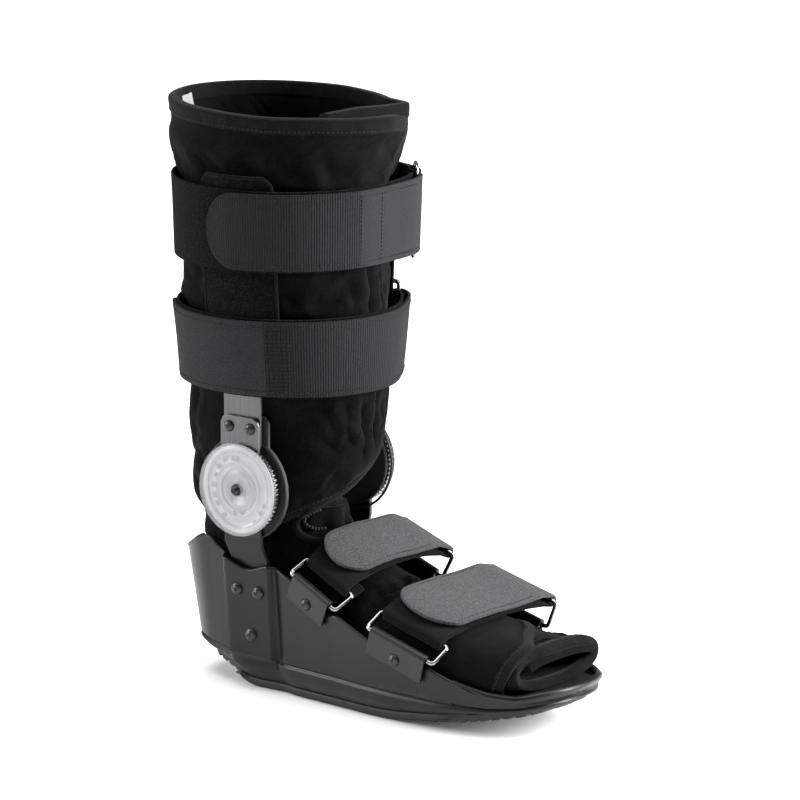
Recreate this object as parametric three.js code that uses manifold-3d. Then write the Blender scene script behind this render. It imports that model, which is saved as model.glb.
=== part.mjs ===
import * as THREE from 'three';
import { mergeVertices } from 'three/addons/utils/BufferGeometryUtils.js';
import Module from 'manifold-3d';

const wasm = await Module();
wasm.setup();

// A medical walking boot, in millimetres. +X points to the toe, +Z up and -Y to the near side.
// The origin is on the floor under the ankle hinge's axis, on the middle plane.

// Overall sizes
const SOLE_LENGTH = 296;
const HEEL_BACK = 70;
const FOOT_WIDTH = 116;
const BOOT_HEIGHT = 376;
const HINGE_HEIGHT = 134.5;
const GAP = 0.3;

// Rigid foot shell
const SHELL_WALL = 3;
const HEEL_TOP = 97;
const FLOOR_HEIGHT = 16;
const OUTSOLE = 5;
const OUTSOLE_INSET = 7;
const RIB_PITCH = 7.4;
const RIB_DEPTH = 1.6;
const FOOTBED = 2.4;
const POCKET_HALF = 17;
const POCKET_OUT = 4.8;

// Stirrup bars, uprights and hinges
const BAR_WIDTH = 29.5;
const BAR = 3;
const PLATE = 2.4;
const PLATE_TOP = 47;
const DIAL_RADIUS = 30;
const DIAL = 1.4;
const COVER = 3.2;
const PAD_RADIUS = 33.5;
const PAD = 2.6;
const HINGE_OUT = 51.3;
const UPRIGHT = 2.4;
const UPRIGHT_TOP = 330;
const SLEEVE_WIDTH = 50;
const SLEEVE = 2;
const SLEEVE_SHIFT = 5;
const RIVET_RADIUS = 4;
const RIVET_HEIGHT = 2;

// Padded liner
const LEG_WALL = 6;
const FOOT_WALL = 5;
const LEG_CENTRE = -7;
const LEG_LONG = 81;
const LEG_ACROSS = 69;
const LEG_BOTTOM = 92;

// Webbing straps and wire rings
const WEBBING = 2;
const LEG_WEBBING = 50;
const REAR_WEBBING = 40;
const FRONT_WEBBING = 52;
const UPPER_STRAP_HEIGHT = 304;
const LOWER_STRAP_HEIGHT = 222;
const WIRE_RADIUS = 1.5;
const RING_DEPTH = 15;
const RING_SPARE = 8;
const RING_CORNER = 2.6;
const TAB_PLATE = 1.5;
const TAB_DROP = 15;

// Colours
const finish = (color, roughness, metalness = 0) => new THREE.MeshStandardMaterial({ color, roughness, metalness });
const FABRIC = finish(0x161617, 0.95);
const PILE = finish(0x0f0f10, 1);
const WEB = finish(0x3a3a3c, 0.9);
const SHELL_GREY = finish(0x333437, 0.45);
const RUBBER = finish(0x1b1b1c, 0.8);
const BOARD = finish(0x3a302b, 0.7);
const BLACK_STEEL = finish(0x1d1d1f, 0.4, 0.6);
const SILVER = finish(0xc4c4c4, 0.3, 1);
const CLEAR = finish(0xe8ecee, 0.1);
const CHROME = finish(0xe0e0e0, 0.12, 1);
const WHITE = finish(0xf0f0ee, 0.8);

// Tables: reads a named column at a place, straight between rows
function look(rows, key, at, column) {
  if (at <= rows[0][key]) return rows[0][column];
  for (let i = 1; i < rows.length; i++) {
    if (at <= rows[i][key]) {
      const share = (at - rows[i - 1][key]) / (rows[i][key] - rows[i - 1][key]);
      return rows[i - 1][column] + share * (rows[i][column] - rows[i - 1][column]);
    }
  }
  return rows[rows.length - 1][column];
}

// Reads a column along a smooth curve through the rows
function smooth(rows, key, at, column) {
  if (at <= rows[0][key]) return rows[0][column];
  const last = rows.length - 1;
  if (at >= rows[last][key]) return rows[last][column];
  let i = 1;
  while (at > rows[i][key]) i++;
  const a = rows[i - 1];
  const b = rows[i];
  const slope = (j) => {
    const lo = rows[Math.max(j - 1, 0)];
    const hi = rows[Math.min(j + 1, last)];
    return (hi[column] - lo[column]) / (hi[key] - lo[key]);
  };
  const step = b[key] - a[key];
  const t = (at - a[key]) / step;
  const h00 = 2 * t ** 3 - 3 * t ** 2 + 1;
  const h01 = 3 * t ** 2 - 2 * t ** 3;
  const h10 = t ** 3 - 2 * t ** 2 + t;
  const h11 = t ** 3 - t ** 2;
  return h00 * a[column] + h01 * b[column] + step * (h10 * slope(i - 1) + h11 * slope(i));
}

// Closed geometry from a list of points and triangles, turned so that its faces point out
function closed(points, faces) {
  const geometry = new THREE.BufferGeometry();
  const at = new Float32Array(points.flatMap((p) => [p.x, p.y, p.z]));
  geometry.setAttribute('position', new THREE.BufferAttribute(at, 3));
  let volume = 0;
  for (const [a, b, c] of faces) {
    volume += points[a].dot(points[b].clone().cross(points[c]));
  }
  geometry.setIndex((volume < 0 ? faces.map(([a, b, c]) => [a, c, b]) : faces).flat());
  return geometry;
}

// Skin over a row of rings with as many points each; the ends are closed by a ladder across the ring,
// or, where it loops, the last ring joins the first
function loft(rings, loops = false) {
  const n = rings[0].length;
  const points = rings.flat();
  const faces = [];
  const count = loops ? rings.length : rings.length - 1;
  for (let i = 0; i < count; i++) {
    for (let k = 0; k < n; k++) {
      const a = i * n + k;
      const b = i * n + ((k + 1) % n);
      const c = ((i + 1) % rings.length) * n + ((k + 1) % n);
      const d = ((i + 1) % rings.length) * n + k;
      faces.push([a, b, c], [a, c, d]);
    }
  }
  if (!loops) {
    for (const [start, turn] of [[0, false], [(rings.length - 1) * n, true]]) {
      for (let k = 0; k < Math.ceil(n / 2) - 1; k++) {
        const quad = [start + k, start + k + 1, start + n - 2 - k, start + n - 1 - k];
        const pair = [[quad[0], quad[2], quad[1]], [quad[0], quad[3], quad[2]]];
        for (const [a, b, c] of pair) {
          if (a !== b && b !== c && a !== c) faces.push(turn ? [a, c, b] : [a, b, c]);
        }
      }
    }
  }
  return closed(points, faces);
}

// Band of cloth or webbing: one four-cornered section at each place along its path
function band(places, thickness) {
  return loft(places.map(({ at, across, out, half }) => {
    const side = across.clone().multiplyScalar(half);
    const rise = out.clone().multiplyScalar(thickness / 2);
    return [
      at.clone().sub(side).sub(rise),
      at.clone().add(side).sub(rise),
      at.clone().add(side).add(rise),
      at.clone().sub(side).add(rise),
    ];
  }));
}

// Round wire along a closed path
function wire(path, radius, sides = 6) {
  const n = path.length;
  const rings = path.map((p, i) => {
    const ahead = path[(i + 1) % n].clone().sub(path[(i + n - 1) % n]).normalize();
    const middle = path.reduce((sum, q) => sum.add(q), new THREE.Vector3()).divideScalar(n);
    const flat = p.clone().sub(middle).cross(ahead).normalize();
    const up = ahead.clone().cross(flat).normalize();
    return Array.from({ length: sides }, (_, k) => {
      const turn = (2 * Math.PI * k) / sides;
      return p.clone().addScaledVector(flat, radius * Math.cos(turn)).addScaledVector(up, radius * Math.sin(turn));
    });
  });
  return loft(rings, true);
}

// Rectangle with round corners in the plane of two directions
function roundedPath(middle, long, short, length, depth, corner, steps = 3) {
  const path = [];
  const ends = [[1, 1, 0], [-1, 1, 1], [-1, -1, 2], [1, -1, 3]];
  for (const [u, v, quarter] of ends) {
    for (let k = 0; k <= steps; k++) {
      const turn = (Math.PI / 2) * (quarter + k / steps);
      const x = u * (length / 2 - corner) + corner * Math.cos(turn);
      const y = v * (depth / 2 - corner) + corner * Math.sin(turn);
      path.push(middle.clone().addScaledVector(long, x).addScaledVector(short, y));
    }
  }
  return path;
}

// Flat plate: an outline in X and Z, extruded along Y from one face to the other
function plate(outline, from, to, holes = []) {
  const shape = new THREE.Shape(outline.map(([x, z]) => new THREE.Vector2(x, z)));
  for (const hole of holes) shape.holes.push(new THREE.Path(hole.map(([x, z]) => new THREE.Vector2(x, z))));
  const depth = Math.abs(to - from);
  const geometry = new THREE.ExtrudeGeometry(shape, { depth, bevelEnabled: false });
  geometry.rotateX(Math.PI / 2);
  geometry.translate(0, Math.max(from, to), 0);
  return geometry;
}

// Round profile turned about its own axis, which then points along a direction
function turned(profile, place, direction, segments = 12) {
  const points = profile.map(([r, h]) => new THREE.Vector2(r, h));
  const geometry = new THREE.LatheGeometry(points, segments);
  const turn = new THREE.Quaternion().setFromUnitVectors(new THREE.Vector3(0, 1, 0), direction.clone().normalize());
  geometry.applyQuaternion(turn);
  geometry.translate(place.x, place.y, place.z);
  return geometry;
}

function merged(geometry) {
  const copy = geometry.clone();
  copy.deleteAttribute('normal');
  copy.deleteAttribute('uv');
  return mergeVertices(copy, 1e-4);
}

function solid(geometry) {
  const whole = merged(geometry);
  return new wasm.Manifold(new wasm.Mesh({
    numProp: 3,
    vertProperties: new Float32Array(whole.attributes.position.array),
    triVerts: new Uint32Array(whole.index.array),
  }));
}

function geometryOf(body) {
  const mesh = body.getMesh();
  const geometry = new THREE.BufferGeometry();
  geometry.setAttribute('position', new THREE.BufferAttribute(new Float32Array(mesh.vertProperties), 3));
  geometry.setIndex(new THREE.BufferAttribute(new Uint32Array(mesh.triVerts), 1));
  return geometry;
}

// The same piece on the far side
function mirrored(geometry) {
  const copy = merged(geometry);
  const at = copy.attributes.position;
  for (let i = 0; i < at.count; i++) at.setY(i, -at.getY(i));
  const index = Array.from(copy.index.array);
  for (let i = 0; i < index.length; i += 3) [index[i + 1], index[i + 2]] = [index[i + 2], index[i + 1]];
  copy.setIndex(index);
  return copy;
}

const boot = new THREE.Group();
function add(name, geometry, material) {
  const mesh = new THREE.Mesh(merged(geometry), material);
  mesh.name = name;
  boot.add(mesh);
}
function addBoth(name, geometry, material) {
  add(name + '_near', geometry, material);
  add(name + '_far', mirrored(geometry), material);
}

// Plan of the shell at the fold above its sole: shares of the sole's length and of half the foot's width
const PLAN = [
  { along: 0.0, near: 0.03, far: 0.03 },
  { along: 0.008, near: 0.24, far: 0.24 },
  { along: 0.034, near: 0.45, far: 0.45 },
  { along: 0.075, near: 0.59, far: 0.59 },
  { along: 0.12, near: 0.67, far: 0.67 },
  { along: 0.162, near: 0.735, far: 0.735 },
  { along: 0.176, near: 0.77, far: 0.77 },
  { along: 0.2365, near: 0.77, far: 0.77 },
  { along: 0.297, near: 0.77, far: 0.77 },
  { along: 0.311, near: 0.79, far: 0.79 },
  { along: 0.335, near: 0.82, far: 0.82 },
  { along: 0.37, near: 0.84, far: 0.84 },
  { along: 0.42, near: 0.872, far: 0.872 },
  { along: 0.48, near: 0.905, far: 0.905 },
  { along: 0.55, near: 0.95, far: 0.95 },
  { along: 0.62, near: 0.98, far: 0.98 },
  { along: 0.69, near: 0.99, far: 0.99 },
  { along: 0.76, near: 0.985, far: 0.975 },
  { along: 0.82, near: 0.95, far: 0.94 },
  { along: 0.87, near: 0.9, far: 0.88 },
  { along: 0.91, near: 0.83, far: 0.79 },
  { along: 0.945, near: 0.75, far: 0.66 },
  { along: 0.97, near: 0.64, far: 0.49 },
  { along: 0.987, near: 0.5, far: 0.29 },
  { along: 1.0, near: 0.28, far: 0.0 },
];

// Side view of the shell: its top edge, the fold above the sole and the sole's underside, as shares of the
// heel's height, with the wall's lean outwards as its slope
const SIDE = [
  { along: 0.0, top: 0.8, fold: 0.27, under: 0.22, lean: 0.15 },
  { along: 0.05, top: 0.89, fold: 0.255, under: 0.17, lean: 0.14 },
  { along: 0.09, top: 0.98, fold: 0.24, under: 0.125, lean: 0.12 },
  { along: 0.115, top: 1.0, fold: 0.232, under: 0.105, lean: 0.1 },
  { along: 0.145, top: 0.93, fold: 0.222, under: 0.085, lean: 0.085 },
  { along: 0.19, top: 0.88, fold: 0.214, under: 0.022, lean: 0.07 },
  { along: 0.213, top: 0.85, fold: 0.212, under: 0.0, lean: 0.066 },
  { along: 0.24, top: 0.83, fold: 0.21, under: 0.0, lean: 0.065 },
  { along: 0.29, top: 0.885, fold: 0.208, under: 0.0, lean: 0.065 },
  { along: 0.33, top: 0.84, fold: 0.206, under: 0.0, lean: 0.065 },
  { along: 0.354, top: 0.815, fold: 0.205, under: 0.0, lean: 0.065 },
  { along: 0.456, top: 0.625, fold: 0.203, under: 0.0, lean: 0.065 },
  { along: 0.48, top: 0.65, fold: 0.202, under: 0.0, lean: 0.065 },
  { along: 0.578, top: 0.53, fold: 0.195, under: 0.0, lean: 0.065 },
  { along: 0.64, top: 0.49, fold: 0.19, under: 0.012, lean: 0.07 },
  { along: 0.74, top: 0.43, fold: 0.185, under: 0.045, lean: 0.08 },
  { along: 0.82, top: 0.345, fold: 0.187, under: 0.08, lean: 0.12 },
  { along: 0.88, top: 0.29, fold: 0.195, under: 0.115, lean: 0.2 },
  { along: 0.94, top: 0.275, fold: 0.215, under: 0.15, lean: 0.3 },
  { along: 1.0, top: 0.315, fold: 0.25, under: 0.205, lean: 0.3 },
];

// Height of the floor inside the shell, as shares of its height at the heel
const FLOOR = [
  { along: 0.0, rise: 2.05 },
  { along: 0.05, rise: 1.7 },
  { along: 0.1, rise: 1.35 },
  { along: 0.15, rise: 1.1 },
  { along: 0.2, rise: 1.0 },
  { along: 0.62, rise: 1.0 },
  { along: 0.76, rise: 1.12 },
  { along: 0.87, rise: 1.32 },
  { along: 1.0, rise: 1.62 },
];

const stationX = (along) => along * SOLE_LENGTH - HEEL_BACK;
const alongOf = (x) => (x + HEEL_BACK) / SOLE_LENGTH;
const topOf = (along) => HEEL_TOP * look(SIDE, 'along', along, 'top');
const foldOf = (along) => HEEL_TOP * look(SIDE, 'along', along, 'fold');
const underOf = (along) => HEEL_TOP * look(SIDE, 'along', along, 'under');
const leanOf = (along) => look(SIDE, 'along', along, 'lean');
const floorOf = (along) => FLOOR_HEIGHT * look(FLOOR, 'along', along, 'rise');

// Points round the plan, from the heel along the near side to the toe and back along the far side
const outline = [
  ...PLAN.map((row) => ({ along: row.along, y: (-row.near * FOOT_WIDTH) / 2 })),
  ...PLAN.slice().reverse().map((row) => ({ along: row.along, y: (row.far * FOOT_WIDTH) / 2 })),
];

// Outward direction in plan at each point of the outline
const outwards = outline.map((_, i) => {
  const n = outline.length;
  const a = outline[(i + n - 1) % n];
  const b = outline[(i + 1) % n];
  const dx = stationX(b.along) - stationX(a.along);
  const dy = b.y - a.y;
  return new THREE.Vector2(dy, -dx).normalize();
});

// The pocket for the stirrup bar: how far the wall stands out there
function pocketOf(along) {
  return Math.abs(stationX(along)) <= POCKET_HALF + 1 ? POCKET_OUT : 0;
}

// One ring of the shell: offset out from the plan, at a height for each place
function planRing(offset, height, withPocket) {
  return outline.map(({ along, y }, i) => {
    const z = height(along);
    const lean = leanOf(along) * Math.max(z - foldOf(along), 0);
    const out = offset + lean + (withPocket ? pocketOf(along) : 0);
    return new THREE.Vector3(stationX(along) + outwards[i].x * out, y + outwards[i].y * out, z);
  });
}

// A place on the near wall's outer face, and the way it faces
function wallPlace(x, z) {
  const along = alongOf(x);
  const face = (at, height) => {
    const half = (look(PLAN, 'along', at, 'near') * FOOT_WIDTH) / 2;
    return -(half + leanOf(at) * (height - foldOf(at)) + pocketOf(at));
  };
  const here = new THREE.Vector3(x, face(along, z), z);
  const ahead = new THREE.Vector3(x + 4, face(alongOf(x + 4), z), z).sub(here);
  const above = new THREE.Vector3(x, face(along, z + 4), z + 4).sub(here);
  return { here, facing: ahead.cross(above).normalize() };
}

// Shell
const between = (share) => (along) => topOf(along) + share * (foldOf(along) - topOf(along));
const shellRings = [
  planRing(-SHELL_WALL - 1.5, floorOf, true),
  planRing(-SHELL_WALL, (along) => Math.max(foldOf(along) + 3, floorOf(along) + 4), true),
  planRing(-SHELL_WALL, between(0.02), true),
  planRing(-SHELL_WALL * 0.7, topOf, true),
  planRing(-SHELL_WALL * 0.3, topOf, true),
  planRing(0, between(0.02), true),
  planRing(0, between(0.5), true),
  planRing(0, between(0.94), true),
  planRing(0.3, foldOf, false),
  planRing(-OUTSOLE_INSET, (along) => underOf(along) + OUTSOLE, false),
];
add('shell', loft(shellRings), SHELL_GREY);

// Footbed board
const footbedRings = [
  planRing(-SHELL_WALL - 2.2, (along) => floorOf(along) + GAP, false),
  planRing(-SHELL_WALL - 2.2, (along) => floorOf(along) + GAP + FOOTBED, false),
];
add('footbed', loft(footbedRings), BOARD);

// Outsole: a slab along the underside with ribs across it, cut to the plan
function outsoleSide() {
  const top = [];
  const bottom = [];
  const rows = SIDE.map((row) => row.along);
  for (const along of rows) top.push([stationX(along), underOf(along) + OUTSOLE - GAP]);
  const count = Math.round(SOLE_LENGTH / RIB_PITCH);
  for (let i = 0; i < count; i++) {
    const start = i / count;
    const wide = 1 / count;
    for (const [share, deep] of [[0, 0], [0.62, 0], [0.7, 1], [0.92, 1]]) {
      const along = start + share * wide;
      bottom.push([stationX(along), underOf(along) + deep * RIB_DEPTH]);
    }
  }
  bottom.push([stationX(1), underOf(1)]);
  top[0][0] -= 1;
  bottom[0][0] -= 1;
  top[top.length - 1][0] += 1;
  bottom[bottom.length - 1][0] += 1;
  return [...bottom, ...top.reverse()];
}
const solePlan = planRing(-OUTSOLE_INSET, () => 0, false).map((p) => new THREE.Vector2(p.x, p.y));
const soleBlock = new THREE.ExtrudeGeometry(new THREE.Shape(solePlan), { depth: HEEL_TOP, bevelEnabled: false });
soleBlock.translate(0, 0, -1);
const soleSlab = plate(outsoleSide(), -FOOT_WIDTH, FOOT_WIDTH);
add('outsole', geometryOf(solid(soleSlab).intersect(solid(soleBlock))), RUBBER);

// Domed rivet head
function rivet(place, facing, radius = RIVET_RADIUS, height = RIVET_HEIGHT) {
  const profile = [[0, 0], [radius, 0], [radius * 0.94, height * 0.4], [radius * 0.6, height * 0.85], [0, height]];
  return turned(profile, place.clone().addScaledVector(facing, GAP), facing);
}

// Stirrup bar: in the pocket it leans with the wall, then steps out to the hinge
const pocketInside = (z) => wallPlace(0, z).here.y + SHELL_WALL + GAP;
const hingeFace = -(HINGE_OUT + PAD + GAP);
const pocketTop = topOf(alongOf(POCKET_HALF * 0.9));
const BAR_STEPS = [
  { z: FLOOR_HEIGHT + SHELL_WALL * 3.6, hinge: 0 },
  { z: pocketTop - GAP * 2, hinge: 0 },
  { z: HINGE_HEIGHT - PAD_RADIUS - PAD, hinge: 1 },
  { z: HINGE_HEIGHT, hinge: 1 },
];
const barOuter = BAR_STEPS.map(({ z, hinge }) =>
  [hinge ? hingeFace - BAR : pocketInside(Math.min(z, topOf(alongOf(0)))), z]);
const barSide = new THREE.Shape([
  ...barOuter.map(([y, z]) => new THREE.Vector2(y, z)),
  ...barOuter.slice().reverse().map(([y, z]) => new THREE.Vector2(y + BAR, z)),
]);
const stirrup = new THREE.ExtrudeGeometry(barSide, { depth: BAR_WIDTH, bevelEnabled: false });
stirrup.applyMatrix4(new THREE.Matrix4().makeBasis(
  new THREE.Vector3(0, 1, 0), new THREE.Vector3(0, 0, 1), new THREE.Vector3(1, 0, 0)));
stirrup.translate(-BAR_WIDTH / 2, 0, 0);
addBoth('stirrup_bar', stirrup, BLACK_STEEL);

// Rivets of the pocket: shares of its half width and of the heel's height
const POCKET_RIVETS = [
  { name: 'shell_rivet_rear', across: -0.5, up: 0.69 },
  { name: 'shell_rivet_front', across: 0.5, up: 0.685 },
  { name: 'shell_rivet_low', across: 0.07, up: 0.39 },
];
for (const { name, across, up } of POCKET_RIVETS) {
  const { here, facing } = wallPlace(across * POCKET_HALF, up * HEEL_TOP);
  addBoth(name, rivet(here, facing), BLACK_STEEL);
}

// Hinge: pad against the liner, bar, plate, dial, clear cover and centre pin
const circle = (radius, count, from = 0, to = 2 * Math.PI, cx = 0, cz = 0) =>
  Array.from({ length: count }, (_, k) => {
    const turn = from + ((to - from) * k) / (to - from > 6.28 ? count : count - 1);
    return [cx + radius * Math.cos(turn), cz + radius * Math.sin(turn)];
  });
const neckHalf = PAD_RADIUS * 0.55;
const padTop = HINGE_HEIGHT + PLATE_TOP + 1;
const neckTurn = Math.acos(neckHalf / PAD_RADIUS);
const padOutline = [
  ...circle(PAD_RADIUS, 26, Math.PI - neckTurn, 2 * Math.PI + neckTurn, 0, HINGE_HEIGHT),
  [neckHalf, padTop - 4],
  [neckHalf - 4, padTop],
  [4 - neckHalf, padTop],
  [-neckHalf, padTop - 4],
];
addBoth('hinge_pad', plate(padOutline, -HINGE_OUT, -HINGE_OUT - PAD), PILE);

const plateBack = hingeFace - BAR - GAP;
const plateHalf = BAR_WIDTH / 2 + 0.7;
const plateTop = HINGE_HEIGHT + PLATE_TOP;
const discTurn = Math.acos(plateHalf / (DIAL_RADIUS - 2));
const plateOutline = [
  ...circle(DIAL_RADIUS - 2, 22, Math.PI - discTurn, 2 * Math.PI + discTurn, 0, HINGE_HEIGHT),
  [plateHalf, plateTop - 5],
  [plateHalf - 1.5, plateTop - 1.5],
  [plateHalf - 5, plateTop],
  [5 - plateHalf, plateTop],
  [1.5 - plateHalf, plateTop - 1.5],
  [-plateHalf, plateTop - 5],
];
addBoth('hinge_plate', plate(plateOutline, plateBack, plateBack - PLATE), SILVER);

const outFacing = new THREE.Vector3(0, -1, 0);
const hingeAt = (y) => new THREE.Vector3(0, y, HINGE_HEIGHT);
const dialBack = plateBack - PLATE - GAP;
const dialShape = [[0, 0], [DIAL_RADIUS - 1.5, 0], [DIAL_RADIUS - 1.5, DIAL], [0, DIAL]];
addBoth('dial', turned(dialShape, hingeAt(dialBack), outFacing, 28), WHITE);
const coverBack = dialBack - DIAL - GAP;
const pinHole = RIVET_RADIUS + GAP;
const coverShape = [
  [pinHole, 0],
  [DIAL_RADIUS, 0],
  [DIAL_RADIUS, COVER * 0.6],
  [DIAL_RADIUS - 2.5, COVER],
  [pinHole, COVER],
  [pinHole, 0],
];
addBoth('dial_cover', turned(coverShape, hingeAt(coverBack), outFacing, 28), CLEAR);
const pinShape = [
  [0, 0],
  [RIVET_RADIUS, 0],
  [RIVET_RADIUS, COVER * 0.8],
  [RIVET_RADIUS * 0.6, COVER + 1.2],
  [0, COVER + 1.6],
];
addBoth('hinge_pin', turned(pinShape, hingeAt(coverBack), outFacing), BLACK_STEEL);
for (const [name, side] of [['rear', -1], ['front', 1]]) {
  const place = new THREE.Vector3(side * BAR_WIDTH * 0.29, plateBack - PLATE, plateTop - 7);
  addBoth('plate_rivet_' + name, rivet(place, outFacing), BLACK_STEEL);
}

// Leg of the liner: shares of the boot's height, of the top's half length and of its half width,
// with the middle's place as a share of the half length
const LEG = [
  { up: 0.244, long: 0.568, across: 0.595, middle: -0.175 },
  { up: 0.305, long: 0.62, across: 0.64, middle: -0.13 },
  { up: 0.36, long: 0.7, across: 0.695, middle: -0.06 },
  { up: 0.4, long: 0.765, across: 0.715, middle: -0.01 },
  { up: 0.43, long: 0.795, across: 0.718, middle: 0.0 },
  { up: 0.497, long: 0.815, across: 0.738, middle: 0.0 },
  { up: 0.575, long: 0.845, across: 0.8, middle: 0.0 },
  { up: 0.67, long: 0.865, across: 0.86, middle: 0.0 },
  { up: 0.765, long: 0.87, across: 0.895, middle: 0.0 },
  { up: 0.88, long: 0.89, across: 0.92, middle: 0.0 },
  { up: 0.94, long: 0.95, across: 0.965, middle: 0.0 },
  { up: 1.0, long: 1.0, across: 1.0, middle: 0.0 },
];
const legLong = (z) => LEG_LONG * smooth(LEG, 'up', z / BOOT_HEIGHT, 'long');
const legAcross = (z) => LEG_ACROSS * smooth(LEG, 'up', z / BOOT_HEIGHT, 'across');
const legMiddle = (z) => LEG_CENTRE + LEG_LONG * smooth(LEG, 'up', z / BOOT_HEIGHT, 'middle');

// The wrap's edges at each turn from the front, in degrees: near is minus, far is plus. It starts inside
// at the near front, goes round the far side and the back, and ends outside past the front.
const WRAP_START = -34;
const WRAP_END = 394;
const WRAP = [
  { turn: -34, inside: 1, low: 1.38, top: 0.995 },
  { turn: 0, inside: 1, low: 1.4, top: 0.995 },
  { turn: 25, inside: 1, low: 1.35, top: 0.99 },
  { turn: 45, inside: 0.9, low: 1.3, top: 0.988 },
  { turn: 75, inside: 0, low: 1.08, top: 0.99 },
  { turn: 95, inside: 0, low: 1.0, top: 0.994 },
  { turn: 180, inside: 0, low: 1.0, top: 1.0 },
  { turn: 260, inside: 0, low: 1.0, top: 1.0 },
  { turn: 290, inside: 0, low: 1.07, top: 0.997 },
  { turn: 315, inside: 0, low: 1.22, top: 0.997 },
  { turn: 340, inside: 0, low: 1.33, top: 0.993 },
  { turn: 360, inside: 0, low: 1.41, top: 0.99 },
  { turn: 372, inside: 0, low: 1.5, top: 0.985 },
  { turn: 385, inside: 0, low: 1.62, top: 0.975 },
  { turn: 394, inside: 0, low: 1.74, top: 0.965 },
];
function legPoint(turn, z, inset) {
  const angle = THREE.MathUtils.degToRad(turn);
  const long = legLong(z) - inset;
  const across = legAcross(z) - inset;
  return new THREE.Vector3(legMiddle(z) + long * Math.cos(angle), across * Math.sin(angle), z);
}
const WRAP_TURNS = 46;
const WRAP_ROWS = 9;
function wrapSection(turn, outer, inner, lowShare = 0) {
  const tuck = look(WRAP, 'turn', turn, 'inside') * (LEG_WALL + GAP * 2);
  const low = LEG_BOTTOM * look(WRAP, 'turn', turn, 'low');
  const top = BOOT_HEIGHT * look(WRAP, 'turn', turn, 'top');
  const heights = Array.from({ length: WRAP_ROWS }, (_, j) => {
    const share = lowShare + ((1 - lowShare) * j) / (WRAP_ROWS - 1);
    return low + share * (top - low);
  });
  return [
    ...heights.map((z) => legPoint(turn, z, tuck + outer)),
    ...heights.slice().reverse().map((z) => legPoint(turn, z, tuck + inner)),
  ];
}
const wrapTurns = Array.from({ length: WRAP_TURNS }, (_, i) =>
  WRAP_START + ((WRAP_END - WRAP_START) * i) / (WRAP_TURNS - 1));
add('liner_leg', loft(wrapTurns.map((turn) => wrapSection(turn, 0, LEG_WALL))), FABRIC);

// Foot of the liner: a padded tube of sections that fan from the ankle to the toe. Each has its rear or
// lower point and its front or upper point, as shares of the sole's length and of the way up from the
// footbed to the heel's top.
const FAN = [
  { lowX: -0.195, lowZ: 1.239, highX: 0.115, highZ: 1.265, half: 0.48, flat: 2.0 },
  { lowX: -0.2, lowZ: 0.998, highX: 0.12, highZ: 1.127, half: 0.52, flat: 2.0 },
  { lowX: -0.208, lowZ: 0.688, highX: 0.143, highZ: 1.007, half: 0.66, flat: 2.0 },
  { lowX: -0.208, lowZ: 0.377, highX: 0.185, highZ: 0.929, half: 0.67, flat: 2.1 },
  { lowX: -0.155, lowZ: 0.136, highX: 0.225, highZ: 0.826, half: 0.64, flat: 2.3 },
  { lowX: 0.01, lowZ: 0.006, highX: 0.28, highZ: 0.731, half: 0.64, flat: 2.5 },
  { lowX: 0.17, lowZ: 0.006, highX: 0.35, highZ: 0.670, half: 0.7, flat: 2.5 },
  { lowX: 0.31, lowZ: 0.006, highX: 0.43, highZ: 0.575, half: 0.76, flat: 2.6 },
  { lowX: 0.44, lowZ: 0.015, highX: 0.52, highZ: 0.481, half: 0.81, flat: 2.7 },
  { lowX: 0.56, lowZ: 0.050, highX: 0.6, highZ: 0.463, half: 0.83, flat: 2.7 },
  { lowX: 0.64, lowZ: 0.081, highX: 0.66, highZ: 0.446, half: 0.8, flat: 2.6 },
  { lowX: 0.69, lowZ: 0.112, highX: 0.7, highZ: 0.472, half: 0.74, flat: 2.3 },
];
const FAN_SIDES = 28;
function fanRing(row, inset) {
  const base = FLOOR_HEIGHT + FOOTBED + GAP * 2;
  const low = new THREE.Vector3(row.lowX * SOLE_LENGTH, 0, base + row.lowZ * (HEEL_TOP - base));
  const high = new THREE.Vector3(row.highX * SOLE_LENGTH, 0, base + row.highZ * (HEEL_TOP - base));
  const middle = low.clone().add(high).multiplyScalar(0.5);
  const up = high.clone().sub(middle);
  const tall = up.length() - inset;
  up.normalize();
  const wide = (row.half * FOOT_WIDTH) / 2 - inset;
  return Array.from({ length: FAN_SIDES }, (_, k) => {
    const turn = (2 * Math.PI * (k + 0.5)) / FAN_SIDES;
    const power = 2 / row.flat;
    const c = Math.sign(Math.cos(turn)) * Math.abs(Math.cos(turn)) ** power;
    const s = Math.sign(Math.sin(turn)) * Math.abs(Math.sin(turn)) ** power;
    const p = middle.clone().addScaledVector(up, -tall * c);
    p.y = -wide * s;
    return p;
  });
}
const footOuter = FAN.map((row) => fanRing(row, 0));
const footInner = FAN.map((row) => fanRing(row, FOOT_WALL)).reverse();
add('liner_foot', loft([...footOuter, ...footInner], true), FABRIC);

// Uprights: flat bars up the leg from under the hinge plate
const uprightFace = (z) => -(legAcross(z) + GAP * 2 + UPRIGHT);
const UPRIGHT_STEPS = [0.48, 0.57, 0.66, 0.76, 0.88, 1];
const uprightOuter = UPRIGHT_STEPS.map((share) => {
  const z = share * UPRIGHT_TOP;
  return [Math.min(plateBack + GAP, uprightFace(z)), z];
});
const uprightSide = new THREE.Shape([
  ...uprightOuter.map(([y, z]) => new THREE.Vector2(y, z)),
  ...uprightOuter.slice().reverse().map(([y, z]) => new THREE.Vector2(y + UPRIGHT, z)),
]);
const upright = new THREE.ExtrudeGeometry(uprightSide, { depth: BAR_WIDTH, bevelEnabled: false });
upright.applyMatrix4(new THREE.Matrix4().makeBasis(
  new THREE.Vector3(0, 1, 0), new THREE.Vector3(0, 0, 1), new THREE.Vector3(1, 0, 0)));
upright.translate(-BAR_WIDTH / 2, 0, 0);
addBoth('upright', upright, SILVER);

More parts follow.
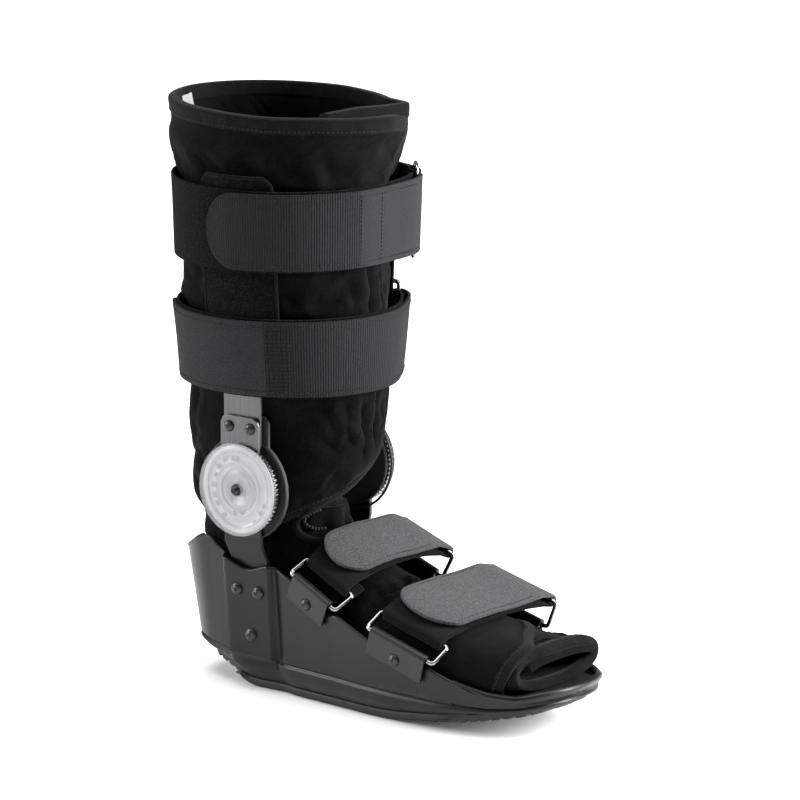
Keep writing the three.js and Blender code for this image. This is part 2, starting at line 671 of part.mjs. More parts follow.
// Sleeve over the upright, curved with the leg
const SLEEVE_OUT = UPRIGHT + 4.7;
const SLEEVE_ROWS = [
  { up: 0.56, width: 1.0 },
  { up: 0.62, width: 1.0 },
  { up: 0.7, width: 1.0 },
  { up: 0.8, width: 1.0 },
  { up: 0.875, width: 1.0 },
  { up: 0.896, width: 0.93 },
  { up: 0.9, width: 0.82 },
];
const SLEEVE_SIDES = 6;
const sleeveRings = SLEEVE_ROWS.map(({ up, width }) => {
  const z = up * BOOT_HEIGHT;
  const arc = (out) => Array.from({ length: SLEEVE_SIDES + 1 }, (_, k) => {
    const x = SLEEVE_SHIFT + (k / SLEEVE_SIDES - 0.5) * SLEEVE_WIDTH * width;
    const c = (x - legMiddle(z)) / (legLong(z) + 1);
    return new THREE.Vector3(x, -(legAcross(z) + out) * Math.sqrt(1 - c * c), z);
  });
  return [...arc(SLEEVE_OUT), ...arc(SLEEVE_OUT + SLEEVE).reverse()];
});
addBoth('upright_sleeve', loft(sleeveRings), PILE);

// Leg strap: from a fold round the ring's rear bar, round the far side, back, near side and front, through
// the ring, and back over itself to a round tip on the near side
const BAR_APART = 12;
const STRAP_LIFT = 3.5;
const FOLD_RADIUS = WIRE_RADIUS + GAP * 2 + WEBBING / 2;
const LAYER = WEBBING + GAP * 2;
const ease = (t) => t * t * (3 - 2 * t);
const nearTurn = (turn, bar, reach) => ease(Math.max(0, 1 - Math.abs(turn - bar) / reach));
function legStrap(name, ringName, height, barTurn, tipTurn, width) {
  const frontBar = 360 + barTurn;
  const rearBar = barTurn + BAR_APART;
  const edge = (turn, z, out) => {
    const angle = THREE.MathUtils.degToRad(turn);
    const long = legLong(z) + 1 + WEBBING / 2;
    const across = legAcross(z) + SLEEVE_OUT + SLEEVE + GAP * 3 + WEBBING / 2;
    const face = new THREE.Vector3(Math.cos(angle) / long, Math.sin(angle) / across, 0).normalize();
    const at = new THREE.Vector3(legMiddle(z) + long * Math.cos(angle), across * Math.sin(angle), z);
    return { at: at.addScaledVector(face, out), face };
  };
  const place = (turn, out) => {
    const low = edge(turn, height - width / 2, out);
    const high = edge(turn, height + width / 2, out);
    const up = high.at.clone().sub(low.at).normalize();
    return { at: low.at.add(high.at).multiplyScalar(0.5), face: low.face, up };
  };
  const path = [];
  const put = (turn, out, half = width / 2) => path.push({ ...place(turn, out), half });
  const barOut = STRAP_LIFT + FOLD_RADIUS;
  const foldRound = (bar, sign) => {
    const { at, face, up } = place(bar, barOut);
    const ahead = new THREE.Vector3(-face.y, face.x, 0);
    for (let k = 1; k < 6; k++) {
      const turn = (Math.PI * k) / 6;
      const to = at.clone().addScaledVector(face, -FOLD_RADIUS * Math.cos(turn) * sign);
      to.addScaledVector(ahead, FOLD_RADIUS * Math.sin(turn) * sign);
      path.push({ at: to, up, half: width / 2 });
    }
  };
  const outerAt = (turn, bar, reach) =>
    LAYER + nearTurn(turn, bar, reach) * (STRAP_LIFT + 2 * FOLD_RADIUS - LAYER);
  for (const more of [26, 20, 14, 8, 2]) put(rearBar + more, outerAt(rearBar + more, rearBar, 30));
  foldRound(rearBar, -1);
  const innerAt = (turn) =>
    STRAP_LIFT * (nearTurn(turn, rearBar, 30) + nearTurn(turn, frontBar, 30));
  const around = 38;
  for (let i = 0; i <= around; i++) {
    const turn = rearBar + 2 + ((frontBar - rearBar - 4) * i) / around;
    put(turn, innerAt(turn));
  }
  foldRound(frontBar, 1);
  const back = Math.round((frontBar - tipTurn) / 8);
  for (let i = 0; i <= back + 3; i++) {
    const share = i < back - 2 ? i / back : 1 - ((1 - (back - 2) / back) * (back + 3 - i)) / 5;
    const turn = frontBar - 3 - (frontBar - 3 - tipTurn) * share;
    const tip = Math.max(0, 1 - (turn - tipTurn) / 15);
    put(turn, outerAt(turn, frontBar, 34), (width / 2) * Math.sqrt(1 - (tip * 0.96) ** 2));
  }
  const places = path.map((p, i) => {
    const a = path[Math.max(i - 1, 0)].at;
    const b = path[Math.min(i + 1, path.length - 1)].at;
    const out = b.clone().sub(a).cross(p.up).normalize();
    return { at: p.at, across: p.up, out, half: p.half };
  });
  add(name, band(places, WEBBING), WEB);

  const front = place(frontBar, barOut);
  const rear = place(rearBar, barOut);
  const short = rear.at.clone().sub(front.at);
  const middle = front.at.clone().add(rear.at).multiplyScalar(0.5);
  const ring = roundedPath(new THREE.Vector3(), new THREE.Vector3(1, 0, 0), new THREE.Vector3(0, 1, 0),
    width + RING_SPARE, short.length(), RING_CORNER).map(({ x, y }) => {
    const share = y / short.length();
    return middle.clone().addScaledVector(short, share).addScaledVector(front.up, x * (0.5 - share))
      .addScaledVector(rear.up, x * (0.5 + share));
  });
  add(ringName, wire(ring, WIRE_RADIUS), CHROME);
}
legStrap('leg_strap_upper', 'leg_ring_upper', UPPER_STRAP_HEIGHT, 35, 266, LEG_WEBBING);
legStrap('leg_strap_lower', 'leg_ring_lower', LOWER_STRAP_HEIGHT, 64, 200, LEG_WEBBING);

// Foot straps: each runs from a fold round the near ring's inner bar over the foot and round the far
// ring's upper bar, and back over itself to a round tip on the near side
const TUBE_RADIUS = WIRE_RADIUS + GAP + TAB_PLATE;
const FOOT_STRAPS = {
  rear: { from: 36, to: 71, rise: [4, 4], width: REAR_WEBBING, bulge: 8.5 },
  front: { from: 102, to: 153, rise: [8, 4.5], width: FRONT_WEBBING, bulge: 5.5 },
};
const RING_TILT = { near: new THREE.Vector3(0.1, 0.79, 0.6), far: new THREE.Vector3(0.05, 0.2, 0.97) };
for (const [name, { from, to, rise, width, bulge }] of Object.entries(FOOT_STRAPS)) {
  const middleX = (from + to) / 2;
  const wall = wallPlace(middleX, topOf(alongOf(middleX)));
  const drop = topOf(alongOf(to)) + rise[1] - topOf(alongOf(from)) - rise[0];
  const ahead = wallPlace(to, wall.here.z).here.sub(wallPlace(from, wall.here.z).here).setZ(drop).normalize();
  const out = wall.facing.clone().addScaledVector(ahead, -wall.facing.dot(ahead)).normalize();
  const up = ahead.clone().cross(out).negate();
  if (up.z < 0) up.negate();
  const bar = wall.here.clone().addScaledVector(out, GAP * 3 - SHELL_WALL / 2);
  bar.z = (topOf(alongOf(from)) + rise[0] + topOf(alongOf(to)) + rise[1]) / 2;

  // Tab: most of a tube round the ring's outer bar, and a plate from it down the outside of the wall
  const arc = (radius, turns) => turns.map((turn) => [radius * Math.cos(turn), radius * Math.sin(turn)]);
  const turns = Array.from({ length: 9 }, (_, k) => (k / 8) * 1.3 * Math.PI);
  const section = [
    [TUBE_RADIUS, -TAB_DROP],
    ...arc(TUBE_RADIUS, turns),
    ...arc(WIRE_RADIUS + GAP, turns.slice().reverse()),
    [WIRE_RADIUS + GAP, -TAB_DROP],
  ];
  const tabShape = new THREE.Shape(section.map(([x, y]) => new THREE.Vector2(x, y)));
  const tabLength = width - 6;
  const tab = new THREE.ExtrudeGeometry(tabShape, { depth: tabLength, bevelEnabled: false });
  tab.translate(0, 0, -tabLength / 2);
  const third = out.clone().cross(up);
  tab.applyMatrix4(new THREE.Matrix4().makeBasis(out, up, third));
  tab.translate(bar.x, bar.y, bar.z);
  addBoth('ring_tab_' + name, tab, SHELL_GREY);
  const rivetPlace = bar.clone().addScaledVector(out, TUBE_RADIUS).addScaledVector(up, -TAB_DROP * 0.62);
  addBoth('tab_rivet_' + name, rivet(rivetPlace, out), BLACK_STEEL);

  // Rings: the near one lies over to the foot, the far one is pulled up
  const ringOf = (side) => {
    const tilt = RING_TILT[side].clone();
    tilt.addScaledVector(ahead, -tilt.dot(ahead)).normalize();
    const start = bar.clone();
    const line = ahead.clone();
    if (side === 'far') {
      start.y = -start.y;
      line.y = -line.y;
      tilt.addScaledVector(line, -tilt.dot(line)).normalize();
    }
    const depth = side === 'far' ? RING_DEPTH + 2 : RING_DEPTH;
    const middle = start.clone().addScaledVector(tilt, depth / 2);
    const path = roundedPath(middle, line, tilt, width + RING_SPARE / 2, depth, RING_CORNER);
    add('foot_ring_' + name + '_' + side, wire(path, WIRE_RADIUS), CHROME);
    return start.addScaledVector(tilt, depth);
  };
  const near = ringOf('near');
  const far = ringOf('far');

  // Strap: places across the boot as [y, z] on the strap's middle line
  const line = [];
  const fold = (centre, start, end) => {
    for (let k = 0; k <= 5; k++) {
      const turn = start + ((end - start) * k) / 5;
      line.push([centre.y + FOLD_RADIUS * Math.cos(turn), centre.z + FOLD_RADIUS * Math.sin(turn)]);
    }
  };
  line.push([near.y + 13, near.z + 4.2 - FOLD_RADIUS]);
  line.push([near.y + 6, near.z + 1 - FOLD_RADIUS]);
  fold(near, -1.3, -4.25);
  const span = far.y - near.y;
  const innerZ = (share) => {
    const base = near.z + FOLD_RADIUS + (far.z - near.z - 2 * FOLD_RADIUS) * share;
    return base + bulge * Math.sin(Math.PI * share) ** 0.6;
  };
  for (const share of [0.1, 0.22, 0.36, 0.5, 0.64, 0.78, 0.9]) line.push([near.y + span * share, innerZ(share)]);
  fold(far, -1.55, 1.75);
  const over = [0.88, 0.76, 0.6, 0.42, 0.27, 0.16, 0.1, 0.06, 0.035];
  const outerFrom = line.length;
  for (const share of over) {
    const open = ease(Math.max(0, (share - 0.6) / 0.4));
    const rise = LAYER + open * (2 * FOLD_RADIUS - LAYER) + 2.5 * (1 - share) ** 2;
    line.push([near.y + span * share, innerZ(share) + rise]);
  }
  const shareOf = (y) => Math.min(Math.max((y - near.y) / span, 0), 1);
  const path = line.map(([y, z]) => new THREE.Vector3(near.x + (far.x - near.x) * shareOf(y), y, z));
  const tipY = near.y + span * over[over.length - 1];
  const places = path.map((p, i) => {
    const a = path[Math.max(i - 1, 0)];
    const b = path[Math.min(i + 1, path.length - 1)];
    const slope = new THREE.Vector3(ahead.x, ahead.y * (1 - 2 * shareOf(p.y)), ahead.z).normalize();
    const face = b.clone().sub(a).cross(slope).normalize();
    const close = i < outerFrom ? 0 : Math.max(0, 1 - (p.y - tipY) / 17);
    const narrow = 1.5 * Math.max(0, 1 - Math.min(Math.abs(p.y - near.y), Math.abs(far.y - p.y)) / 14);
    return { at: p, across: slope, out: face, half: (width / 2 - narrow) * Math.sqrt(1 - (close * 0.95) ** 2) };
  });
  add('foot_strap_' + name, band(places, WEBBING), WEB);
}

// Bare tag inside the top of the leg
const tagTop = legPoint(205, BOOT_HEIGHT * 0.965, LEG_WALL + 5);
const tag = new THREE.BoxGeometry(0.8, 18, 24);
tag.rotateZ(THREE.MathUtils.degToRad(22));
tag.translate(tagTop.x + 2.2, tagTop.y + 0.8, tagTop.z - 12);
add('care_tag', tag, WHITE);

export default boot;
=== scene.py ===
import bpy, bmesh, math
import numpy as np
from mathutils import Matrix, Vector
from mathutils.bvhtree import BVHTree


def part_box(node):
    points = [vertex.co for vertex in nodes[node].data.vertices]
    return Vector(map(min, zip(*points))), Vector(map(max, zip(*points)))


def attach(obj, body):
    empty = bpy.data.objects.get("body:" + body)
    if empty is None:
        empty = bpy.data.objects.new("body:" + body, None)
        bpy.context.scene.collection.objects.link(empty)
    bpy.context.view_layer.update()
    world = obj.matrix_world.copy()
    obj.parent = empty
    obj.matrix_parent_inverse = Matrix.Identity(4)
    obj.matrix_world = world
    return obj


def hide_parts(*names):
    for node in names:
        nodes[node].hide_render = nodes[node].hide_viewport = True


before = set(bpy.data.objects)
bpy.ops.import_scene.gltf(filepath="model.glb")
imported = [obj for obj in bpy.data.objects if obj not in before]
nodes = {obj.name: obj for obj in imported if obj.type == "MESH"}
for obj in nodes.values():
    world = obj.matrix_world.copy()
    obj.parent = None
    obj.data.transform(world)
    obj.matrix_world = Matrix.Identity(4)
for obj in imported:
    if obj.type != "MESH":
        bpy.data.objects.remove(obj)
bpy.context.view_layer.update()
scene = bpy.context.scene
MM = 0.001

# Camera at the photograph's angle
AZ, EL, DIST = math.radians(38), math.radians(12.5), 4.5
AIM = Vector((0.082, 0.0, 0.193))
look_along = Vector((-math.sin(AZ) * math.cos(EL), math.cos(AZ) * math.cos(EL), -math.sin(EL)))
cam_data = bpy.data.cameras.new("camera")
cam_data.lens = 321
cam_data.sensor_width = 36
cam_data.clip_end = 50
camera = bpy.data.objects.new("camera", cam_data)
camera.location = AIM - look_along * DIST
camera.rotation_euler = look_along.to_track_quat("-Z", "Y").to_euler()
scene.collection.objects.link(camera)
scene.camera = camera
scene.view_settings.view_transform = "Standard"

# Sizes and tables of the CAD source, in millimetres
SOLE_LENGTH, HEEL_BACK, FOOT_WIDTH, BOOT_HEIGHT, HINGE = 296, 70, 116, 376, 134.5
HEEL_TOP, FLOOR_HEIGHT, SHELL_WALL, OUTSOLE, INSET = 97, 16, 3, 5, 7
LEG_WALL, FOOT_WALL, LEG_CENTRE, LEG_LONG, LEG_ACROSS, LEG_BOTTOM = 6, 5, -7, 81, 69, 92
WEBBING, WIRE, GAP = 2, 1.5, 0.3
POCKET_OUT, POCKET_HALF = 4.8, 17
SLEEVE_OUT, SLEEVE, SLEEVE_SHIFT = 7.1, 2, 5
SIDES = (("near", -1), ("far", 1))
PLAN = np.array([
    (0.0, 0.03, 0.03), (0.008, 0.24, 0.24), (0.034, 0.45, 0.45), (0.075, 0.59, 0.59),
    (0.12, 0.67, 0.67), (0.162, 0.735, 0.735), (0.176, 0.77, 0.77), (0.2365, 0.77, 0.77),
    (0.297, 0.77, 0.77), (0.311, 0.79, 0.79), (0.335, 0.82, 0.82), (0.37, 0.84, 0.84),
    (0.42, 0.872, 0.872), (0.48, 0.905, 0.905), (0.55, 0.95, 0.95), (0.62, 0.98, 0.98),
    (0.69, 0.99, 0.99), (0.76, 0.985, 0.975), (0.82, 0.95, 0.94), (0.87, 0.9, 0.88),
    (0.91, 0.83, 0.79), (0.945, 0.75, 0.66), (0.97, 0.64, 0.49), (0.987, 0.5, 0.29),
    (1.0, 0.28, 0.0)])
SIDE = np.array([
    (0.0, 0.8, 0.27, 0.22, 0.15), (0.05, 0.89, 0.255, 0.17, 0.14), (0.09, 0.98, 0.24, 0.125, 0.12),
    (0.115, 1.0, 0.232, 0.105, 0.1), (0.145, 0.93, 0.222, 0.085, 0.085),
    (0.19, 0.88, 0.214, 0.022, 0.07), (0.213, 0.85, 0.212, 0.0, 0.066),
    (0.24, 0.83, 0.21, 0.0, 0.065), (0.29, 0.885, 0.208, 0.0, 0.065),
    (0.33, 0.84, 0.206, 0.0, 0.065), (0.354, 0.815, 0.205, 0.0, 0.065),
    (0.456, 0.625, 0.203, 0.0, 0.065), (0.48, 0.65, 0.202, 0.0, 0.065),
    (0.578, 0.53, 0.195, 0.0, 0.065), (0.64, 0.49, 0.19, 0.012, 0.07),
    (0.74, 0.43, 0.185, 0.045, 0.08), (0.82, 0.345, 0.187, 0.08, 0.12),
    (0.88, 0.29, 0.195, 0.115, 0.2), (0.94, 0.275, 0.215, 0.15, 0.3),
    (1.0, 0.315, 0.25, 0.205, 0.3)])
FLOOR = np.array([
    (0, 2.05), (0.05, 1.7), (0.1, 1.35), (0.15, 1.1), (0.2, 1.0), (0.62, 1.0), (0.76, 1.12),
    (0.87, 1.32), (1.0, 1.62)])
LEG = np.array([
    (0.244, 0.568, 0.595, -0.175), (0.305, 0.62, 0.64, -0.13), (0.36, 0.7, 0.695, -0.06),
    (0.4, 0.765, 0.715, -0.01), (0.43, 0.795, 0.718, 0), (0.497, 0.815, 0.738, 0),
    (0.575, 0.845, 0.8, 0), (0.67, 0.865, 0.86, 0), (0.765, 0.87, 0.895, 0), (0.88, 0.89, 0.92, 0),
    (0.94, 0.95, 0.965, 0), (1.0, 1.0, 1.0, 0)])
WRAP = np.array([
    (-34, 1, 1.38, 0.995), (0, 1, 1.4, 0.995), (25, 1, 1.35, 0.99), (45, 0.9, 1.3, 0.988),
    (75, 0, 1.08, 0.99), (95, 0, 1.0, 0.994), (180, 0, 1.0, 1.0), (260, 0, 1.0, 1.0),
    (290, 0, 1.07, 0.997), (315, 0, 1.22, 0.997), (340, 0, 1.33, 0.993), (360, 0, 1.41, 0.99),
    (372, 0, 1.5, 0.985), (385, 0, 1.62, 0.975), (394, 0, 1.74, 0.955)])
FAN = np.array([
    (-0.195, 0.86, 0.115, 0.875, 0.48, 2.0), (-0.2, 0.72, 0.12, 0.795, 0.52, 2.0),
    (-0.208, 0.54, 0.143, 0.725, 0.66, 2.0), (-0.208, 0.36, 0.185, 0.68, 0.67, 2.1),
    (-0.155, 0.22, 0.225, 0.62, 0.64, 2.3), (0.01, 0.145, 0.28, 0.565, 0.64, 2.5),
    (0.17, 0.145, 0.35, 0.53, 0.7, 2.5), (0.31, 0.145, 0.43, 0.475, 0.76, 2.6),
    (0.44, 0.15, 0.52, 0.42, 0.81, 2.7), (0.56, 0.17, 0.6, 0.41, 0.83, 2.7),
    (0.64, 0.188, 0.66, 0.4, 0.8, 2.6), (0.69, 0.206, 0.7, 0.415, 0.74, 2.3)])


def smooth_curve(rows, column):
    """A smooth curve through a table's column."""
    x, y = rows[:, 0], rows[:, column]
    slope = np.empty(len(x))
    slope[1:-1] = (y[2:] - y[:-2]) / (x[2:] - x[:-2])
    slope[0] = (y[1] - y[0]) / (x[1] - x[0])
    slope[-1] = (y[-1] - y[-2]) / (x[-1] - x[-2])

    def at(t):
        t = np.clip(np.asarray(t, float), x[0], x[-1])
        i = np.clip(np.searchsorted(x, t, side="right") - 1, 0, len(x) - 2)
        step = x[i + 1] - x[i]
        s = (t - x[i]) / step
        return ((2 * s**3 - 3 * s**2 + 1) * y[i] + (3 * s**2 - 2 * s**3) * y[i + 1]
                + step * ((s**3 - 2 * s**2 + s) * slope[i] + (s**3 - s**2) * slope[i + 1]))
    return at


long_of, across_of, middle_of = (smooth_curve(LEG, c) for c in (1, 2, 3))
leg_long = lambda z: LEG_LONG * long_of(z / BOOT_HEIGHT)
leg_across = lambda z: LEG_ACROSS * across_of(z / BOOT_HEIGHT)
leg_middle = lambda z: LEG_CENTRE + LEG_LONG * middle_of(z / BOOT_HEIGHT)


def leg_point(turn, z, inset):
    """A place on the leg at a turn in degrees and a height."""
    a = np.radians(turn)
    return np.stack([leg_middle(z) + (leg_long(z) - inset) * np.cos(a),
            (leg_across(z) - inset) * np.sin(a), z + 0 * a], -1)


def unit(v):
    return v / np.maximum(np.linalg.norm(v, axis=-1, keepdims=True), 1e-9)


def noise(shape, seed, rounds):
    """Soft seeded noise over a grid, from about -1 to 1."""
    g = np.random.default_rng(seed).standard_normal(shape)
    for _ in range(rounds):
        g = (g + np.roll(g, 1, 0) + np.roll(g, -1, 0) + np.roll(g, 1, 1) + np.roll(g, -1, 1)) / 5
    return g / np.abs(g).max()


# Materials
def material(name, color, rough=0.8, metal=0.0, **more):
    m = bpy.data.materials.new(name)
    m.use_nodes = True
    shader = m.node_tree.nodes["Principled BSDF"]
    shader.inputs["Base Color"].default_value = (*color, 1)
    shader.inputs["Roughness"].default_value = rough
    shader.inputs["Metallic"].default_value = metal
    for key, value in more.items():
        shader.inputs[key.replace("_", " ")].default_value = value
    return m, m.node_tree, shader


def node(tree, kind, **values):
    n = tree.nodes.new(kind)
    for key, value in values.items():
        if hasattr(n, key):
            setattr(n, key, value)
        else:
            n.inputs[key.replace("_", " ")].default_value = value
    return n


def noise_of(tree, scale, detail=3.0, coords="Object", rough=0.6, stretch=None):
    """Noise whose grain is 1/scale of a metre."""
    place = node(tree, "ShaderNodeTexCoord").outputs[coords]
    if stretch:
        mapping = node(tree, "ShaderNodeMapping")
        mapping.inputs["Scale"].default_value = stretch
        tree.links.new(place, mapping.inputs["Vector"])
        place = mapping.outputs["Vector"]
    n = node(tree, "ShaderNodeTexNoise", Scale=scale, Detail=detail, Roughness=rough)
    tree.links.new(place, n.inputs["Vector"])
    return n.outputs["Fac"]


def ramp(tree, value, low, high, at=(0.0, 1.0)):
    """A colour between two, by a value."""
    r = node(tree, "ShaderNodeValToRGB")
    r.color_ramp.elements[0].position, r.color_ramp.elements[1].position = at
    r.color_ramp.elements[0].color = (*low, 1)
    r.color_ramp.elements[1].color = (*high, 1)
    tree.links.new(value, r.inputs["Fac"])
    return r.outputs["Color"]


def maths(tree, operation, a, b=None):
    n = node(tree, "ShaderNodeMath", operation=operation)
    for i, x in enumerate((a, b)):
        if x is None:
            continue
        if isinstance(x, (int, float)):
            n.inputs[i].default_value = x
        else:
            tree.links.new(x, n.inputs[i])
    return n.outputs[0]


def bump(tree, shader, height, distance, strength=1.0, after=None):
    b = node(tree, "ShaderNodeBump", Strength=strength, Distance=distance)
    tree.links.new(height, b.inputs["Height"])
    if after is not None:
        tree.links.new(after, b.inputs["Normal"])
    tree.links.new(b.outputs["Normal"], shader.inputs["Normal"])
    return b.outputs["Normal"]


def grey(v, warm=1.0):
    return (v, v, v * warm)


def fabric(name, dark, light, sheen=0.35, grain=2600, depth=0.0003):
    """Brushed knit over foam: a fine nap with paler fibres."""
    m, t, s = material(name, light, 0.95, Sheen_Weight=sheen, Sheen_Roughness=0.4,
            Specular_IOR_Level=0.025)
    nap = noise_of(t, grain, 4.0)
    patch = noise_of(t, 60, 3.0)
    mixed = maths(t, "ADD", maths(t, "MULTIPLY", nap, 0.7), maths(t, "MULTIPLY", patch, 0.3))
    t.links.new(ramp(t, mixed, dark, light, (0.36, 0.68)), s.inputs["Base Color"])
    first = bump(t, s, patch, 0.0006, 0.35)
    bump(t, s, nap, depth, 0.7, first)
    return m


def webbing(name, dark, light, pitch=0.0017, cross=0.0011, slant=0.0, depth=0.00045, sheen=0.2,
        fuzz_scale=1100, speck=0.6):
    """Woven webbing: ribs across the strap, broken into stitches, with a little fuzz.
    Its places come from the strap's own length and width."""
    m, t, s = material(name, light, 0.85, Sheen_Weight=sheen, Specular_IOR_Level=0.04)
    uv = node(t, "ShaderNodeTexCoord").outputs["UV"]
    split = node(t, "ShaderNodeSeparateXYZ")
    t.links.new(uv, split.inputs[0])
    along = maths(t, "ADD", split.outputs["X"], maths(t, "MULTIPLY", split.outputs["Y"], slant))
    ribs = maths(t, "ABSOLUTE", maths(t, "SINE", maths(t, "MULTIPLY", along, math.pi / pitch)))
    shifted = maths(t, "ADD", maths(t, "MULTIPLY", split.outputs["Y"], math.pi / cross),
            maths(t, "MULTIPLY", along, math.pi / pitch * 0.5))
    threads = maths(t, "ABSOLUTE", maths(t, "SINE", shifted))
    weave = maths(t, "MULTIPLY", maths(t, "POWER", ribs, 0.6),
            maths(t, "ADD", maths(t, "MULTIPLY", threads, 0.45), 0.55))
    fuzz = noise_of(t, fuzz_scale, 2.0, rough=0.7)
    tone = maths(t, "ADD", maths(t, "MULTIPLY", weave, 1.0 - speck),
            maths(t, "MULTIPLY", fuzz, speck * 1.25))
    t.links.new(ramp(t, tone, dark, light, (0.2, 0.95)), s.inputs["Base Color"])
    bump(t, s, maths(t, "ADD", weave, maths(t, "MULTIPLY", fuzz, 0.5)), depth, 0.9)
    return m


def pile(name, dark, light, scale=1500, depth=0.0008):
    """Looped pile: small rough curls."""
    m, t, s = material(name, light, 1.0, Sheen_Weight=0.02, Specular_IOR_Level=0.02)
    place = node(t, "ShaderNodeTexCoord").outputs["Object"]
    cells = node(t, "ShaderNodeTexVoronoi", Scale=scale)
    t.links.new(place, cells.inputs["Vector"])
    curls = noise_of(t, scale * 0.7, 5.0, rough=0.75)
    mixed = maths(t, "MULTIPLY", cells.outputs["Distance"], curls)
    t.links.new(ramp(t, mixed, dark, light, (0.1, 0.5)), s.inputs["Base Color"])
    bump(t, s, mixed, depth, 1.0)
    return m


def plastic(name, color, rough=0.4, grain=900, depth=0.00008, metal=0.0, wear=0.15, **more):
    """Moulded plastic or coated metal: a faint grain, uneven gloss and paler rubbed edges."""
    m, t, s = material(name, color, rough, metal, **more)
    fine = noise_of(t, grain, 3.0)
    broad = noise_of(t, 35, 3.0)
    shade = ramp(t, broad, tuple(c * (1 - wear) for c in color),
            tuple(min(c * (1 + wear), 1) for c in color), (0.3, 0.7))
    edges = node(t, "ShaderNodeNewGeometry").outputs["Pointiness"]
    worn = maths(t, "MULTIPLY", maths(t, "GREATER_THAN", edges, 0.56), 0.35)
    mix = node(t, "ShaderNodeMixRGB", blend_type="MIX")
    t.links.new(worn, mix.inputs["Fac"])
    t.links.new(shade, mix.inputs[1])
    mix.inputs[2].default_value = (*[min(c * 2.2 + 0.01, 1) for c in color], 1)
    t.links.new(mix.outputs["Color"], s.inputs["Base Color"])
    t.links.new(maths(t, "ADD", maths(t, "MULTIPLY", broad, 0.18), rough - 0.09),
            s.inputs["Roughness"])
    bump(t, s, fine, depth, 0.6)
    return m


def brushed(name, color, rough, stretch):
    m, t, s = material(name, color, rough, 1.0)
    streaks = noise_of(t, 900, 3.0, stretch=stretch)
    t.links.new(maths(t, "ADD", maths(t, "MULTIPLY", streaks, 0.25), rough - 0.1),
            s.inputs["Roughness"])
    t.links.new(ramp(t, streaks, tuple(c * 0.75 for c in color), color, (0.3, 0.7)),
            s.inputs["Base Color"])
    bump(t, s, streaks, 0.00003, 0.5)
    return m


LINER = fabric("liner_knit", grey(0.0008), grey(0.0062, 1.08), sheen=0.022, grain=1400)
BINDING = fabric("edge_binding", grey(0.0018), grey(0.0105, 1.06), sheen=0.04, grain=1500,
        depth=0.00035)
STRAP = webbing("strap_weave", grey(0.002), grey(0.021, 1.07), sheen=0.012, speck=0.55)
STRAP_FINE = webbing("strap_fine_weave", grey(0.003), grey(0.03, 1.07), pitch=0.0019, cross=0.0016,
        slant=0.8, depth=0.0004, sheen=0.02, speck=0.7)
TAIL = webbing("strap_tail_weave", grey(0.0035), grey(0.072, 1.04), pitch=0.0018, cross=0.0013,
        slant=0.9, sheen=0.06, fuzz_scale=800, speck=0.85)
SMOOTH_WEB = webbing("strap_smooth", grey(0.0015), grey(0.005), pitch=0.0022, cross=0.0012,
        depth=0.0002, sheen=0.03)
PILE = pile("looped_pile", grey(0.0005), grey(0.0085, 1.08), scale=950)
SHELL = plastic("shell_moulded", (0.0038, 0.0039, 0.0044), 0.36, wear=0.12, Specular_IOR_Level=0.2)
TAB = plastic("tab_moulded", (0.0038, 0.0039, 0.0044), 0.32, wear=0.12, Specular_IOR_Level=0.24)
RUBBER = plastic("sole_tread", (0.008, 0.008, 0.0083), 0.7, grain=1500, depth=0.0002)
BOARD = plastic("footbed_board", (0.011, 0.0085, 0.0075), 0.5, grain=700, depth=0.0001)
STEEL = plastic("coated_steel", (0.0035, 0.0035, 0.0038), 0.34, metal=0.1, wear=0.2,
        Specular_IOR_Level=0.22)
RIVET = plastic("rivet_coating", (0.02, 0.02, 0.021), 0.3, metal=0.5, wear=0.25)
FOAM = plastic("pad_foam", (0.0028, 0.0028, 0.003), 0.7, grain=1600, depth=0.00025)
SILVER = brushed("brushed_aluminium", (0.085, 0.085, 0.087), 0.28, (1, 1, 0.03))
CHROME = brushed("polished_wire", (0.3, 0.3, 0.305), 0.16, (0.2, 0.2, 1))
DIAL = plastic("dial_disc", (0.13, 0.13, 0.133), 0.35, wear=0.3)
RINGED = plastic("dial_lines", (0.07, 0.07, 0.072), 0.4)
TEETH = brushed("toothed_steel", (0.17, 0.17, 0.175), 0.26, (1, 1, 0.3))
DARK = plastic("dial_marks", (0.008, 0.008, 0.008), 0.5)
THREAD = fabric("stitch_thread", grey(0.006), grey(0.016, 1.02), sheen=0.1, grain=3500)
PALE_THREAD = fabric("stitch_thread_pale", grey(0.012), grey(0.035, 1.02), sheen=0.1, grain=3500)
TAG = fabric("tag_cloth", grey(0.2), grey(0.3, 1.02), sheen=0.1, grain=1500, depth=0.00015)


def clear_plastic():
    m, t, s = material("clear_cover", (0.9, 0.92, 0.94), 0.1, 0.0, Alpha=0.13)
    n = noise_of(t, 300, 2.0)
    t.links.new(ramp(t, n, (0.8, 0.82, 0.84), (0.92, 0.93, 0.94)), s.inputs["Base Color"])
    bump(t, s, n, 0.00002, 0.2)
    return m


CLEAR = clear_plastic()


